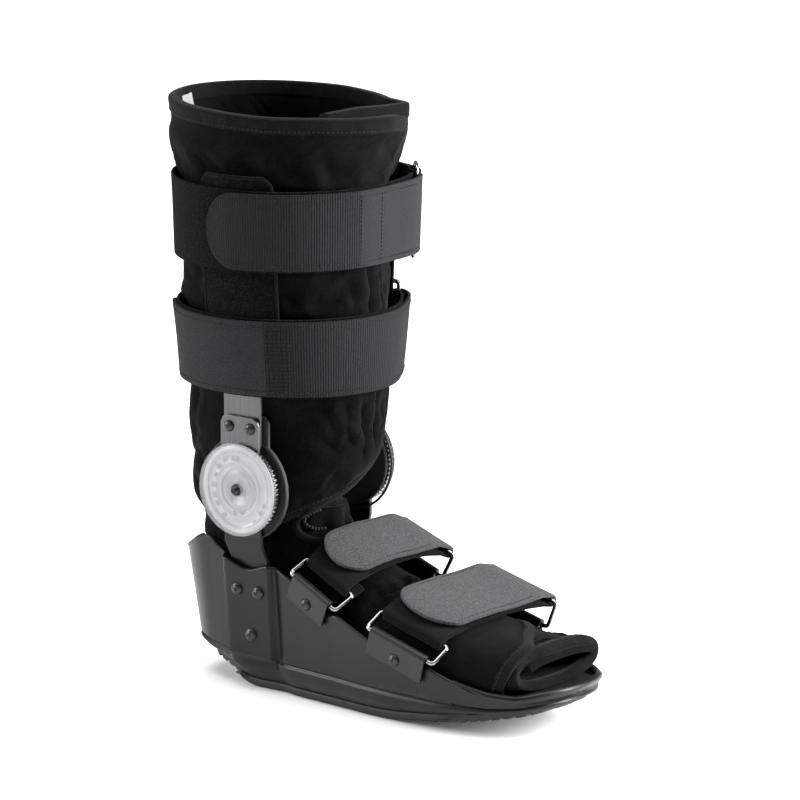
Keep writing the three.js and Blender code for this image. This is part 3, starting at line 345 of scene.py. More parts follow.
# Mesh making
def mesh_piece(name, verts, faces, mats, uv=None, smooth=True, face_mats=None, slot=None,
        replaces=(), ride=True):
    """A new object from points in millimetres."""
    mesh = bpy.data.meshes.new(name)
    mesh.from_pydata([tuple(p) for p in np.asarray(verts, float) * MM], [],
            [tuple(int(i) for i in f) for f in faces])
    for m in mats if isinstance(mats, (list, tuple)) else [mats]:
        mesh.materials.append(m)
    if smooth:
        mesh.shade_smooth()
    if uv is not None:
        layer = mesh.uv_layers.new(name="flat")
        index = np.zeros(len(mesh.loops), int)
        mesh.loops.foreach_get("vertex_index", index)
        layer.data.foreach_set("uv", (np.asarray(uv, float)[index] * MM).ravel())
    if face_mats is not None:
        mesh.polygons.foreach_set("material_index", np.asarray(face_mats, np.int32))
    mesh.update()
    obj = bpy.data.objects.new(name, mesh)
    scene.collection.objects.link(obj)
    if ride:
        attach(obj, "root")
    if replaces:
        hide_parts(*replaces)
    return obj


def grid_faces(nu, nv, loop_u=False, loop_v=False):
    faces = []
    for i in range(nu if loop_u else nu - 1):
        for j in range(nv if loop_v else nv - 1):
            a, b = i * nv + j, ((i + 1) % nu) * nv + j
            c, d = ((i + 1) % nu) * nv + (j + 1) % nv, i * nv + (j + 1) % nv
            faces.append((a, b, c, d))
    return faces


def lengths(P, axis):
    """Distance run along one way of a grid, in millimetres."""
    step = np.linalg.norm(np.diff(P, axis=axis), axis=-1)
    pad = [(0, 0), (0, 0)]
    pad[axis] = (1, 0)
    return np.pad(np.cumsum(step, axis=axis), pad)


def modifier(obj, kind, **values):
    m = obj.modifiers.new(kind.lower(), kind)
    for key, value in values.items():
        setattr(m, key, value)
    return m


def sheet_piece(name, P, thickness, mats, face_mats=None, offset=0.0, rim=0.35, **more):
    """A sheet of cloth or webbing from a grid of points on its middle, with its own
    thickness and soft edges."""
    nu, nv = P.shape[:2]
    u, v = lengths(P, 0).mean(1, keepdims=True), lengths(P, 1)
    uv = np.stack([np.broadcast_to(u, (nu, nv)), v], -1).reshape(-1, 2)
    obj = mesh_piece(name, P.reshape(-1, 3), grid_faces(nu, nv), mats, uv, face_mats=face_mats,
            **more)
    modifier(obj, "SOLIDIFY", thickness=thickness * MM, offset=offset, use_even_offset=True)
    if rim:
        modifier(obj, "BEVEL", width=rim * MM, segments=2, limit_method="ANGLE",
                angle_limit=math.radians(50), harden_normals=False)
    return obj


def normals(P, out_from=None):
    """Outward normals of a grid."""
    n = unit(np.cross(np.gradient(P, axis=0), np.gradient(P, axis=1)))
    if out_from is not None and ((P - out_from) * n).sum(-1).mean() < 0:
        n = -n
    return n


def tube(name, path, radius, mats, sides=12, closed=True, **more):
    """Round wire or cord along a path of points; the radius may differ at each."""
    path = np.asarray(path, float)
    n = len(path)
    along = np.roll(path, -1, 0) - np.roll(path, 1, 0) if closed else np.gradient(path, axis=0)
    ahead = unit(along)
    flat = path - path.mean(0)
    side = unit(np.cross(flat, ahead))
    if not closed:
        helper = np.array([0.13, 0.27, 0.95])
        side = unit(np.cross(ahead, helper))
    up = np.cross(ahead, side)
    r = np.broadcast_to(np.asarray(radius, float), (n,))[:, None, None]
    turn = np.linspace(0, 2 * math.pi, sides, endpoint=False)[None, :, None]
    P = path[:, None] + r * (np.cos(turn) * side[:, None] + np.sin(turn) * up[:, None])
    faces = grid_faces(n, sides, closed, True)
    verts = P.reshape(-1, 3)
    if not closed:
        verts = np.vstack([verts, path[:1], path[-1:]])
        for k in range(sides):
            faces.append((n * sides, k, (k + 1) % sides))
            faces.append((n * sides + 1, (n - 1) * sides + (k + 1) % sides, (n - 1) * sides + k))
    return mesh_piece(name, verts, faces, mats, **more)


def stitches(name, path, face, pitch=3.0, length=2.1, radius=0.28, mat=None, lift=0.1):
    """A row of short sewn stitches along a path on a surface."""
    path, face = np.asarray(path, float), np.asarray(face, float)
    run = np.concatenate([[0], np.cumsum(np.linalg.norm(np.diff(path, axis=0), axis=1))])
    verts, faces = [], []
    for start in np.arange(pitch * 0.3, run[-1] - length, pitch):
        ts = start + length * np.array([0, 0.25, 0.5, 0.75, 1.0])
        c = np.stack([np.interp(ts, run, path[:, k]) for k in range(3)], -1)
        f = unit(np.stack([np.interp(ts, run, face[:, k]) for k in range(3)], -1))
        c = c + f * (lift + radius * np.array([-0.9, 0.2, 0.5, 0.2, -0.9]))[:, None]
        t = unit(np.gradient(c, axis=0))
        s = unit(np.cross(f, t))
        base = len(verts)
        for k in range(5):
            w = radius * (0.75, 1.0, 1.0, 1.0, 0.75)[k]
            for a in range(6):
                turn = a * math.pi / 3
                verts.append(c[k] + w * (math.cos(turn) * s[k] * 1.25 + math.sin(turn) * f[k]))
        for k in range(4):
            for a in range(6):
                faces.append((base + k * 6 + a, base + k * 6 + (a + 1) % 6,
                        base + (k + 1) * 6 + (a + 1) % 6, base + (k + 1) * 6 + a))
        faces.append(tuple(base + a for a in range(5, -1, -1)))
        faces.append(tuple(base + 24 + a for a in range(6)))
    return mesh_piece(name, verts, faces, mat or THREAD)


def binding(name, edge, inward, out, wide=8.5, thick=3.5, beyond=1.2, closed=False, mat=None,
        sew=True, sew_at=0.78):
    """Tape folded over a cloth's edge: edge points, the way into the cloth and the way out
    of its face."""
    edge = np.asarray(edge, float)
    inward, out = unit(np.asarray(inward, float)), unit(np.asarray(out, float))
    section = []
    for a in np.linspace(-90, 90, 13):
        c, d = math.cos(math.radians(a)), math.sin(math.radians(a))
        section.append((-beyond + thick * 0.62 * (1 - c ** 0.6),
                thick * math.copysign(abs(d) ** 0.6, d)))
    top = [(wide * 0.5, thick * 1.03), (wide * 0.85, thick * 0.99), (wide, thick * 0.9),
            (wide + 0.5, thick * 0.6)]
    section = [(x, -y) for x, y in reversed(top)] + section + top
    S = np.array(section)
    P = edge[:, None] + S[None, :, :1] * inward[:, None] + S[None, :, 1:] * out[:, None]
    n, k = P.shape[:2]
    faces = grid_faces(n, k, closed, True)
    if not closed:
        faces += [tuple(range(k)), tuple((n - 1) * k + j for j in reversed(range(k)))]
    obj = mesh_piece(name, P.reshape(-1, 3), faces, mat or BINDING)
    if sew:
        line = edge + inward * wide * sew_at + out * (thick * 0.98)
        if closed:
            line, out = np.vstack([line, line[:1]]), np.vstack([out, out[:1]])
        stitches(name + "_stitches", line, out)
    return obj


def refine(cad, mats, bevel=0.4, segments=2, name=None, angle=28, subsurf=0):
    """A cleaned copy of a CAD node with soft edges, which stands for it."""
    source = nodes[cad]
    mesh = source.data.copy()
    mesh.materials.clear()
    for m in mats if isinstance(mats, (list, tuple)) else [mats]:
        mesh.materials.append(m)
    bm = bmesh.new()
    bm.from_mesh(mesh)
    bmesh.ops.remove_doubles(bm, verts=bm.verts, dist=2e-6)
    bmesh.ops.dissolve_limit(bm, angle_limit=math.radians(1.5), verts=bm.verts, edges=bm.edges)
    for f in bm.faces:
        f.material_index = 0
        f.smooth = True
    bm.to_mesh(mesh)
    bm.free()
    if "custom_normal" in mesh.attributes:
        mesh.attributes.remove(mesh.attributes["custom_normal"])
    mesh.name = name or cad + "_piece"
    obj = bpy.data.objects.new(name or cad + "_piece", mesh)
    scene.collection.objects.link(obj)
    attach(obj, "root")
    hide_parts(cad)
    if bevel:
        modifier(obj, "BEVEL", width=bevel * MM, segments=segments, limit_method="ANGLE",
                angle_limit=math.radians(angle))
    if subsurf:
        modifier(obj, "SUBSURF", levels=subsurf, render_levels=subsurf)
    modifier(obj, "WEIGHTED_NORMAL", keep_sharp=False)
    return obj


def relax(P, pins, extra=0.03, frames=18, cap=3.5, pressure=0.0, seed=1, loop=False):
    """Cloth simulation of a grid sheet with more cloth than its pinned bands span, so that
    it buckles into soft folds. Gives how far each point moved, in millimetres."""
    nu, nv = P.shape[:2]
    start = P + normals(P) * noise((nu, nv), seed, 6)[..., None] * 0.5 * (1 - pins)[..., None]
    obj = mesh_piece("relax", start.reshape(-1, 3), grid_faces(nu, nv, loop), LINER, ride=False)
    group = obj.vertex_groups.new(name="pins")
    flat = pins.ravel()
    for i in np.nonzero(flat > 0.01)[0]:
        group.add([int(i)], float(flat[i]), "REPLACE")
    cloth = modifier(obj, "CLOTH")
    c = cloth.settings
    c.quality = 6
    c.mass = 0.25
    c.tension_stiffness = c.compression_stiffness = 12
    c.shear_stiffness = 6
    c.bending_stiffness = 0.6
    c.vertex_group_mass = "pins"
    c.shrink_min = -extra
    c.use_pressure = pressure != 0
    c.uniform_pressure_force = pressure
    c.effector_weights.gravity = 0.15
    cloth.collision_settings.use_collision = False
    cloth.point_cache.frame_end = frames
    for f in range(1, frames + 1):
        scene.frame_set(f)
    deps = bpy.context.evaluated_depsgraph_get()
    done = obj.evaluated_get(deps).to_mesh()
    co = np.zeros(len(done.vertices) * 3)
    done.vertices.foreach_get("co", co)
    moved = co.reshape(P.shape) / MM - P
    obj.evaluated_get(deps).to_mesh_clear()
    mesh = obj.data
    bpy.data.objects.remove(obj)
    bpy.data.meshes.remove(mesh)
    scene.frame_set(1)
    size = np.linalg.norm(moved, axis=-1, keepdims=True)
    moved = moved * np.minimum(1, cap / np.maximum(size, 1e-6))
    return np.nan_to_num(moved) * (1 - pins)[..., None]


def resample(A, nu, nv):
    """A grid's values at another number of rows and columns."""
    u, v = np.linspace(0, A.shape[0] - 1, nu), np.linspace(0, A.shape[1] - 1, nv)
    i, j = np.minimum(u.astype(int), A.shape[0] - 2), np.minimum(v.astype(int), A.shape[1] - 2)
    s, t = (u - i)[:, None, None], (v - j)[None, :, None]
    a, b = A[i][:, j], A[i + 1][:, j]
    c, d = A[i][:, j + 1], A[i + 1][:, j + 1]
    return (a * (1 - s) + b * s) * (1 - t) + (c * (1 - s) + d * s) * t


def smooth_path(points, count):
    """An open smooth path through points."""
    table = np.column_stack([np.arange(len(points)), np.asarray(points, float)])
    t = np.linspace(0, len(points) - 1, count)
    return np.stack([smooth_curve(table, k)(t) for k in (1, 2, 3)], -1)


def step(x, low, high):
    t = np.clip((x - low) / (high - low), 0, 1)
    return t * t * (3 - 2 * t)


# Leg of the liner: the wrap, from its inner flap round the far side and back to its outer flap,
# with the heights of the two leg straps
UPPER, LOWER = 304, 222


def wrap_end(z):
    """The turn of the outer flap's edge at a height."""
    return np.interp(z, [120, 150, 190, 225, 262, 335, 352, 366],
            [392, 391, 388, 378, 368, 368, 378, 397])


# The wrap's first turn; at the top its flap runs straight between two places, from above
WRAP_START = -34
FLAP_CORNER, FLAP_INSIDE = np.array([47.0, 56.0]), np.array([41.0, -25.0])


def wrap_grid(nu, nv, inset):
    """Places on the wrap, with their turns, heights and how far they lie under a strap."""
    u, v = np.linspace(0, 1, nu)[:, None], np.linspace(0, 1, nv)[None]
    rough = WRAP_START + u * 428
    low = LEG_BOTTOM * np.interp(rough, WRAP[:, 0], WRAP[:, 2])
    top = BOOT_HEIGHT * np.interp(rough, WRAP[:, 0], WRAP[:, 3])
    z = low + v * (top - low)
    turn = WRAP_START + u * (wrap_end(z) - WRAP_START)
    tuck = np.interp(turn, WRAP[:, 0], WRAP[:, 1]) * (LEG_WALL + 2 * GAP)
    P = leg_point(turn, z, tuck + inset)
    share = ((52 - turn) / 86)[..., None]
    chord = np.concatenate([FLAP_CORNER + (FLAP_INSIDE - FLAP_CORNER) * share, z[..., None]], -1)
    across_top = (step(z, 318, 372) * (1 - step(turn, 42, 64)))[..., None]
    P = P * (1 - across_top) + chord * across_top
    out = unit(np.stack([np.cos(np.radians(turn)) / leg_long(z),
            np.sin(np.radians(turn)) / leg_across(z), 0 * turn], -1))
    under = np.maximum(1 - step(np.abs(z - UPPER), 20, 30), 1 - step(np.abs(z - LOWER), 20, 30))
    swell = 1.3 * (1 - under) - 0.8 * under
    swell = swell * step(z, 150, 190) * (1 - step(z, 345, 372))
    swell = swell * (1 - 0.5 * np.abs(np.sin(np.radians(turn))) ** 6)
    heel_swell = 4.5 * np.exp(-(((turn - 200) / 42) ** 2))
    heel_swell = heel_swell * step(z, 99, 124) * (1 - step(z, 165, 192))
    return P + out * (swell + heel_swell)[..., None], turn, z, under


def press(u, v, creases):
    """Depth of soft creases over a sheet, each from (u0, v0) to (u1, v1) with a width and a
    depth, with raised lips."""
    total = 0 * u
    for u0, v0, u1, v1, width, depth in creases:
        long = math.hypot(u1 - u0, v1 - v0)
        share = ((u - u0) * (u1 - u0) + (v - v0) * (v1 - v0)) / long**2
        away = ((u - u0) * (v1 - v0) - (v - v0) * (u1 - u0)) / long
        away = away + 0.25 * width * np.sin(share * 5 + u0)
        ends = step(share, -0.12, 0.3) * (1 - step(share, 0.7, 1.12))
        groove = np.exp(-((away / width) ** 2))
        lips = np.exp(-(((np.abs(away) - 2.3 * width) / (1.3 * width)) ** 2))
        total = total + depth * ends * (groove - 0.55 * lips)
    return total


LEG_CREASES = [
    (351, 280, 353, 246, 2.2, 1.7), (371, 280, 372, 250, 1.8, 1.5), (362, 274, 362, 252, 1.5, 0.9),
    (338, 276, 341, 252, 2.6, 0.9), (364, 199, 366, 160, 2.2, 1.8), (382, 200, 384, 168, 1.8, 1.6),
    (350, 196, 354, 150, 2.8, 1.2), (335, 194, 344, 158, 3.0, 0.9), (251, 348, 259, 336, 1.6, 1.6),
    (246, 352, 252, 338, 2.2, 0.8), (300, 272, 310, 252, 3.5, 0.7), (322, 352, 330, 332, 3.0, 0.8),
    (318, 196, 330, 170, 3.2, 0.8), (236, 196, 222, 168, 3.2, 1.0), (228, 150, 244, 132, 3.0, 1.1),
    (215, 132, 238, 118, 3.0, 1.0), (190, 196, 184, 160, 3.5, 1.0), (170, 196, 176, 158, 3.5, 1.0),
    (178, 150, 210, 142, 3.2, 1.0), (150, 150, 176, 140, 3.2, 1.0), (200, 276, 204, 250, 3.0, 0.8),
    (150, 276, 146, 250, 3.0, 0.8), (30, 276, 28, 250, 3.0, 1.0), (50, 276, 56, 250, 3.0, 0.8),
    (40, 196, 34, 160, 3.0, 1.2), (20, 198, 22, 160, 2.6, 1.2), (120, 276, 112, 252, 3.2, 0.8),
    (140, 196, 132, 168, 3.2, 0.9)]

LEG_AXIS = np.array([LEG_CENTRE, 0, 250])
sim_P, sim_turn, sim_z, sim_under = wrap_grid(150, 70, LEG_WALL / 2)
pins = np.clip(sim_under, 0, 1)
rows, cols = np.indices(sim_z.shape)
pins = np.maximum(pins, 1 - step(cols, 0, 3))
pins = np.maximum(pins, step(cols, 64, 67))
pins = np.maximum(pins, 1 - step(rows, 0, 3))
pins = np.maximum(pins, step(rows, 146, 148))
hinge_side = np.exp(-((np.abs(((sim_turn + 360) % 180) - 90) / 32) ** 2))
hinge_side = hinge_side * (1 - step(sim_z, 176, 200))
pins = np.maximum(pins, np.clip(hinge_side * 1.5, 0, 1))
folds = relax(sim_P, pins, extra=0.035, cap=3.0, seed=4)
NU, NV = 300, 130
wrap_P, wrap_turn, wrap_z, _ = wrap_grid(NU, NV, LEG_WALL / 2)
wrap_P = wrap_P + resample(folds, NU, NV)
wrap_P = wrap_P - normals(wrap_P, LEG_AXIS) * press(wrap_turn, wrap_z, LEG_CREASES)[..., None]
liner_leg = sheet_piece("liner_leg_wrap", wrap_P, LEG_WALL, [LINER], rim=1.2, slot="liner_fabric",
        replaces=["liner_leg"])

# Tape over the wrap's edges
wrap_N = normals(wrap_P, LEG_AXIS)
binding("binding_top", wrap_P[:, -1], wrap_P[:, -3] - wrap_P[:, -1], wrap_N[:, -1])
binding("binding_flap", wrap_P[-1], wrap_P[-4] - wrap_P[-1], wrap_N[-1], wide=7.5)
binding("binding_inner_flap", wrap_P[0, 10:], wrap_P[3, 10:] - wrap_P[0, 10:], wrap_N[0, 10:],
        wide=7.5)
front = wrap_turn[:, 0] > 268
binding("binding_lower_front", wrap_P[front, 0], wrap_P[front, 2] - wrap_P[front, 0],
        wrap_N[front, 0], wide=7.5)

# Foot of the liner
def fan_grid(ns, na, inset, s0=0.0, a0=0.0, a1=360.0):
    """Places on the foot tube, from section s0 of the table to the last, between two turns."""
    s = np.linspace(s0, len(FAN) - 1, ns)
    table = np.column_stack([np.arange(len(FAN)), FAN])
    lx, lz, hx, hz, half, flat = (smooth_curve(table, c + 1)(s) for c in range(6))
    low = np.stack([lx * SOLE_LENGTH, 0 * s, lz * HINGE], -1)
    high = np.stack([hx * SOLE_LENGTH, 0 * s, hz * HINGE], -1)
    middle, up = (low + high) / 2, (high - low) / 2
    tall = np.linalg.norm(up, axis=1) - inset
    up = unit(up)
    wide = half * FOOT_WIDTH / 2 - inset
    turn = np.radians(np.linspace(a0, a1, na))[None]
    power = (2 / flat)[:, None]
    c = np.sign(np.cos(turn)) * np.abs(np.cos(turn)) ** power
    d = np.sign(np.sin(turn)) * np.abs(np.sin(turn)) ** power
    P = middle[:, None] - (tall[:, None] * c)[..., None] * up[:, None]
    P[..., 1] -= wide[:, None] * d
    return P, s[:, None] + 0 * turn, np.degrees(turn) + 0 * s[:, None]


foot_P, foot_s, foot_a = fan_grid(110, 120, FOOT_WALL / 2)
foot_N = normals(foot_P)
axis_line = foot_P.mean(1, keepdims=True)
if ((foot_P - axis_line) * foot_N).sum(-1).mean() < 0:
    foot_N = -foot_N
on_top = np.clip(-np.cos(np.radians(foot_a)), 0, 1)
pins = np.clip(1 - on_top * 2.2, 0, 1)
strap_zones = np.maximum(np.exp(-(((foot_P[..., 0] - 60) / 17) ** 4)),
        np.exp(-(((foot_P[..., 0] - 131) / 22) ** 4)))
pins = np.maximum(pins, strap_zones * (foot_s > 3))
pins = np.maximum(pins, np.maximum(1 - step(foot_s, 0, 0.4), step(foot_s, 10.6, 10.9)))
foot_P = foot_P + relax(foot_P, pins, extra=0.06, cap=3.0, seed=9)
# Crossing creases where the instep folds between the straps and behind the rear one
FOOT_CREASES = [
    (80, -22, 106, 6, 2.2, 2.6), (106, -22, 80, 6, 2.2, 2.6), (84, 2, 108, 24, 2.2, 2.2),
    (106, 0, 84, 24, 2.2, 2.2),
    (26, -20, 42, 4, 2.0, 1.8), (42, -16, 30, 14, 2.0, 1.6), (152, -30, 170, -22, 2.4, 1.4)]
pressed = press(foot_P[..., 0], foot_P[..., 1], FOOT_CREASES) * 1.45 * step(on_top, 0.15, 0.5)
foot_P = foot_P - foot_N * pressed[..., None]
liner_foot = sheet_piece("liner_foot_tube", foot_P, FOOT_WALL, [LINER], rim=1.0,
        slot="liner_fabric", replaces=["liner_foot"])
toe_edge = foot_P[-1, :-1]
binding("binding_toe", toe_edge, (foot_P[-3] - foot_P[-1])[:-1], foot_N[-1, :-1], wide=6.5,
        thick=3.3, closed=True)

# Near panel of the foot, over the tongue, with its bound front edge
panel_edge = np.array([
    (20, 10.1), (50, 10.2), (75, 10.5), (95, 10.8), (115, 10.95), (135, 10.95), (150, 10.8),
    (165, 10.3), (178, 9.6), (190, 8.9), (200, 8.3)])
pa = np.linspace(24, 196, 80)
ps_end = smooth_curve(panel_edge, 1)(pa)
pv = np.linspace(0, 1, 46)
big, _, _ = fan_grid(221, 173, -1.9, s0=6.6, a0=24, a1=196)
ii = (6.9 + (ps_end[None] - 6.9) * pv[:, None] - 6.6) / 4.4 * 220
jj = pa - 24
i0, j0 = np.minimum(ii.astype(int), 219), np.minimum(jj.astype(int), 171)
fi = (ii - i0)[..., None]
fj = (jj - j0)[None, :, None]
j0 = np.broadcast_to(j0[None], i0.shape)
panel_P = ((big[i0, j0] * (1 - fi) + big[i0 + 1, j0] * fi) * (1 - fj)
           + (big[i0, j0 + 1] * (1 - fi) + big[i0 + 1, j0 + 1] * fi) * fj)
panel_N = normals(panel_P)
if panel_N[20, 40, 1] > 0:
    panel_N = -panel_N
wave = noise(panel_P.shape[:2], 21, 14)
panel_P = panel_P + panel_N * (0.3 * wave * pv[:, None])[..., None]
panel = sheet_piece("liner_near_panel", panel_P, 3.4, [LINER], rim=0.8, slot="liner_fabric")
binding("binding_near_panel", panel_P[-1], panel_P[-3] - panel_P[-1], panel_N[-1], wide=7.5,
        thick=2.2)

# Upper lip of the toe opening: a second padded layer under the top edge
lip_P, _, _ = fan_grid(30, 60, FOOT_WALL + 2.6, s0=9.2, a0=112, a1=248)
lip_P[..., 0] += 5 * np.linspace(0, 1, 30)[:, None] ** 2
lip = sheet_piece("toe_upper_lip", lip_P, 4.6, [LINER], rim=1.6, slot="liner_fabric")

# Tongue at the ankle, in front of the leg, with a strip of pile
tongue_u, tongue_v = np.meshgrid(np.linspace(-1, 1, 40), np.linspace(0, 1, 50), indexing="ij")
tongue_z = 96 + 78 * tongue_v
tongue_P = np.stack([
    leg_middle(tongue_z) + (leg_long(tongue_z) - 13) * np.cos(tongue_u * 0.62) + 3 * (1 - tongue_v),
    (leg_across(tongue_z) - 13) * np.sin(tongue_u * 0.62), tongue_z + 0 * tongue_u], -1)
tongue_P[..., 0] += 1.1 * noise(tongue_P.shape[:2], 5, 10)
tongue = sheet_piece("tongue_pad", tongue_P, 4, [LINER], rim=1.0, slot="liner_fabric")
strip_P = tongue_P[12:28, 4:46] + np.array([2.9, 0, 0])
strip = sheet_piece("tongue_pile_strip", strip_P, 1.2, [PILE], rim=0.3, slot="pile")

# Notch at the ankle, under the flap's lower edge: a rolled edge and pale scallops, laid on the
# liner where the camera sees them
SIGHT_RIGHT = Vector((math.cos(AZ), math.sin(AZ), 0))
SIGHT_UP = SIGHT_RIGHT.cross(look_along)
PIXELS_PER_MM = 1.585


def seen_at(pieces, places, lift):
    """Where sight lines through places in the picture meet some pieces, lifted to the camera."""
    deps = bpy.context.evaluated_depsgraph_get()
    trees = [BVHTree.FromObject(piece, deps) for piece in pieces]
    found = []
    for x, y in places:
        target = AIM + (SIGHT_RIGHT * (x - 400) + SIGHT_UP * (400 - y)) * (MM / PIXELS_PER_MM)
        sight = (target - camera.location).normalized()
        hits = [t.ray_cast(camera.location, sight) for t in trees]
        near = min((h for h in hits if h[0] is not None), key=lambda h: h[3])
        found.append(np.array(near[0] - sight * lift * MM) / MM)
    return np.array(found)


def notch_line(places, lift, count=40):
    line = seen_at([liner_leg, liner_foot, tongue],
            smooth_path([(x, y, 0) for x, y in places], count)[:, :2], lift)
    for _ in range(6):
        line[1:-1] = (line[:-2] + line[1:-1] * 2 + line[2:]) / 4
    return line


roll_line = notch_line([(340, 499), (324, 505), (309, 510), (299, 517), (296, 527), (303, 537),
        (318, 541), (332, 541)], 0.4)
tube("ankle_notch_roll", roll_line, 2.4, BINDING, sides=12, closed=False)
scallop_line = notch_line([(322, 509), (312, 513), (305, 518), (305, 523), (310, 527), (317, 529),
        (327, 528)], 1.2)
stitches("ankle_notch_scallops", scallop_line, np.repeat(-np.array(look_along)[None], 40, 0),
        pitch=2.2, length=1.6, radius=0.75, mat=PALE_THREAD)

# Shell: a moulded wall with a rounded rim, a raised pocket on each side and the fold above the sole
def closed_curve(points, count):
    """A smooth closed curve through points, evenly stepped."""
    p = np.asarray(points, float)
    n = len(p)
    parts = []
    for i in range(n):
        a, b, c, d = p[i - 1], p[i], p[(i + 1) % n], p[(i + 2) % n]
        t = np.linspace(0, 1, 24, endpoint=False)[:, None]
        parts.append(0.5 * (2 * b + (c - a) * t + (2 * a - 5 * b + 4 * c - d) * t**2
                            + (3 * b - a - 3 * c + d) * t**3))
    q = np.vstack(parts)
    q2 = np.vstack([q, q[:1]])
    run = np.concatenate([[0], np.cumsum(np.linalg.norm(np.diff(q2, axis=0), axis=1))])
    at = np.linspace(0, run[-1], count, endpoint=False)
    return np.stack([np.interp(at, run, q2[:, k]) for k in range(p.shape[1])], -1)


def end_taper(count, reach):
    """Rises from 0 to 1 over some places at each end of a path."""
    at = np.arange(count)
    return np.minimum(step(at, 0, reach), step(count - 1 - at, 0, reach))


PLAN_POINTS = 420
x_of = lambda along: along * SOLE_LENGTH - HEEL_BACK
half_width = FOOT_WIDTH / 2
points = [(x_of(a), -n * half_width) for a, n, f in PLAN]
points += [(x_of(a), f * half_width) for a, n, f in PLAN[::-1]]
plan = closed_curve(points, PLAN_POINTS)
tangent = unit(np.roll(plan, -1, 0) - np.roll(plan, 1, 0))
plan_out = np.stack([tangent[:, 1], -tangent[:, 0]], -1)
plan_along = np.clip((plan[:, 0] + HEEL_BACK) / SOLE_LENGTH, 0, 1)


def side_value(column, soften=1):
    v = np.interp(plan_along, SIDE[:, 0], SIDE[:, column])
    for _ in range(soften):
        v = (np.roll(v, 1) + v + np.roll(v, -1)) / 3
    return v


rim_z, fold_z, under_z = (
    side_value(column, soften) * HEEL_TOP for column, soften in ((1, 3), (2, 6), (3, 6)))
lean = side_value(4, 12)
floor_z = np.interp(plan_along, FLOOR[:, 0], FLOOR[:, 1]) * FLOOR_HEIGHT
pocket = POCKET_OUT * (1 - step(np.abs(plan[:, 0]), POCKET_HALF + 0.6, POCKET_HALF + 3.6))


def shell_ring(offset, z, with_pocket=1.0):
    out = offset + lean * np.maximum(z - fold_z, 0) + pocket * with_pocket
    xy = plan + plan_out * out[:, None]
    return np.column_stack([xy, z])


def wall_z(share):
    return rim_z + share * (fold_z - rim_z)


W = SHELL_WALL
rings = [shell_ring(-W - 1.5 + 0 * rim_z, floor_z)]
rings += [shell_ring(-W + 0 * rim_z, np.maximum(fold_z + 3, floor_z + 4))]
for d in (0.75, 0.5, 0.25, 0.1):
    rings.append(shell_ring(-W + 0 * rim_z,
            np.maximum(wall_z(d), np.maximum(fold_z + 3.2, floor_z + 4.2))))
for a in (0, 22, 45, 68, 90, 112, 135, 158, 180):
    r = W / 2
    rings.append(shell_ring(-W / 2 - r * math.cos(math.radians(a)) + 0 * rim_z,
            rim_z - r * 0.9 + r * 0.9 * math.sin(math.radians(a))))
for d in (0.06, 0.12, 0.25, 0.4, 0.55, 0.7, 0.82, 0.9):
    rings.append(shell_ring(0 * rim_z, wall_z(d)))
# The fold: a height over its line, a distance out and a share of the pocket for each ring
FOLD_RINGS = ((3.2, 0.0, 1.0), (2.2, -0.1, 0.8), (1.4, -0.9, 0.45), (0.8, -1.0, 0.2),
              (0.2, -0.2, 0.05), (-0.8, 0.4, 0.0), (-1.9, 0.2, 0.0))
for z_up, off, pk in FOLD_RINGS:
    rings.append(shell_ring(off + 0 * rim_z, fold_z + z_up, pk))
low_z = under_z + OUTSOLE
for d in (0.25, 0.5, 0.75, 0.93, 1.0):
    z = fold_z - 2.2 + (low_z - fold_z + 2.2) * d
    rings.append(shell_ring(0.1 - (INSET + 0.1) * d**1.6 + 0 * rim_z, z, 0.0))
R = np.array(rings)
verts = R.reshape(-1, 3)
faces = [f[::-1] for f in grid_faces(len(rings), R.shape[1], False, True)]
n = R.shape[1]
for first, flip in ((0, False), ((len(rings) - 1) * n, True)):
    for k in range(n // 2 - 1):
        q = (first + k, first + k + 1, first + n - 2 - k, first + n - 1 - k)
        faces.append(q if flip else q[::-1])
shell = mesh_piece("shell_moulded", verts, faces, SHELL, slot="shell_plastic", replaces=["shell"])
modifier(shell, "WEIGHTED_NORMAL", keep_sharp=False)

# Rolled bead round the toe's rim
toe = np.nonzero(plan_along > 0.8)[0]
order = toe[np.argsort((toe - toe[0]) % len(plan))]
bead_path = shell_ring(-W / 2 + 0 * rim_z, rim_z + 0.4, 0.0)[order]
tube("toe_bead", bead_path, 0.6 + 1.9 * end_taper(len(order), 16), SHELL, sides=14, closed=False,
        slot="shell_plastic")

# Rolled lip at the heel's top
heel = np.nonzero(plan_along < 0.1)[0]
order = heel[np.argsort((heel + PLAN_POINTS // 2) % PLAN_POINTS)]
heel_path = shell_ring(-W / 2 + 0 * rim_z, rim_z + 0.1, 0.0)[order]
tube("heel_lip", heel_path, 1.0 + 0.9 * end_taper(len(order), 14), SHELL, sides=14, closed=False,
        slot="shell_plastic")

# Rubber band along each side of the sole, under the shell's lower edge, thinning out at its ends
for side, sign in SIDES:
    run = np.nonzero((plan_along > 0.1) & (plan_along < 0.83) & (plan[:, 1] * sign > 0))[0]
    run = run[np.argsort(plan[run, 0])]
    deep = np.minimum(step(plan_along[run], 0.1, 0.16), 1 - step(plan_along[run], 0.72, 0.83))
    rows_down = []
    for share in (0.0, 0.35, 0.7, 1.0):
        z = low_z[run] + 0.5 - (OUTSOLE - 0.2) * share * deep
        inside = INSET - 0.7 + 1.0 * share
        rows_down.append(np.column_stack([plan[run] - plan_out[run] * inside, z]))
    sheet_piece(f"sole_side_band_{side}", np.swapaxes(np.array(rows_down), 0, 1), 1.2, [RUBBER],
            rim=0.0, slot="sole_rubber")

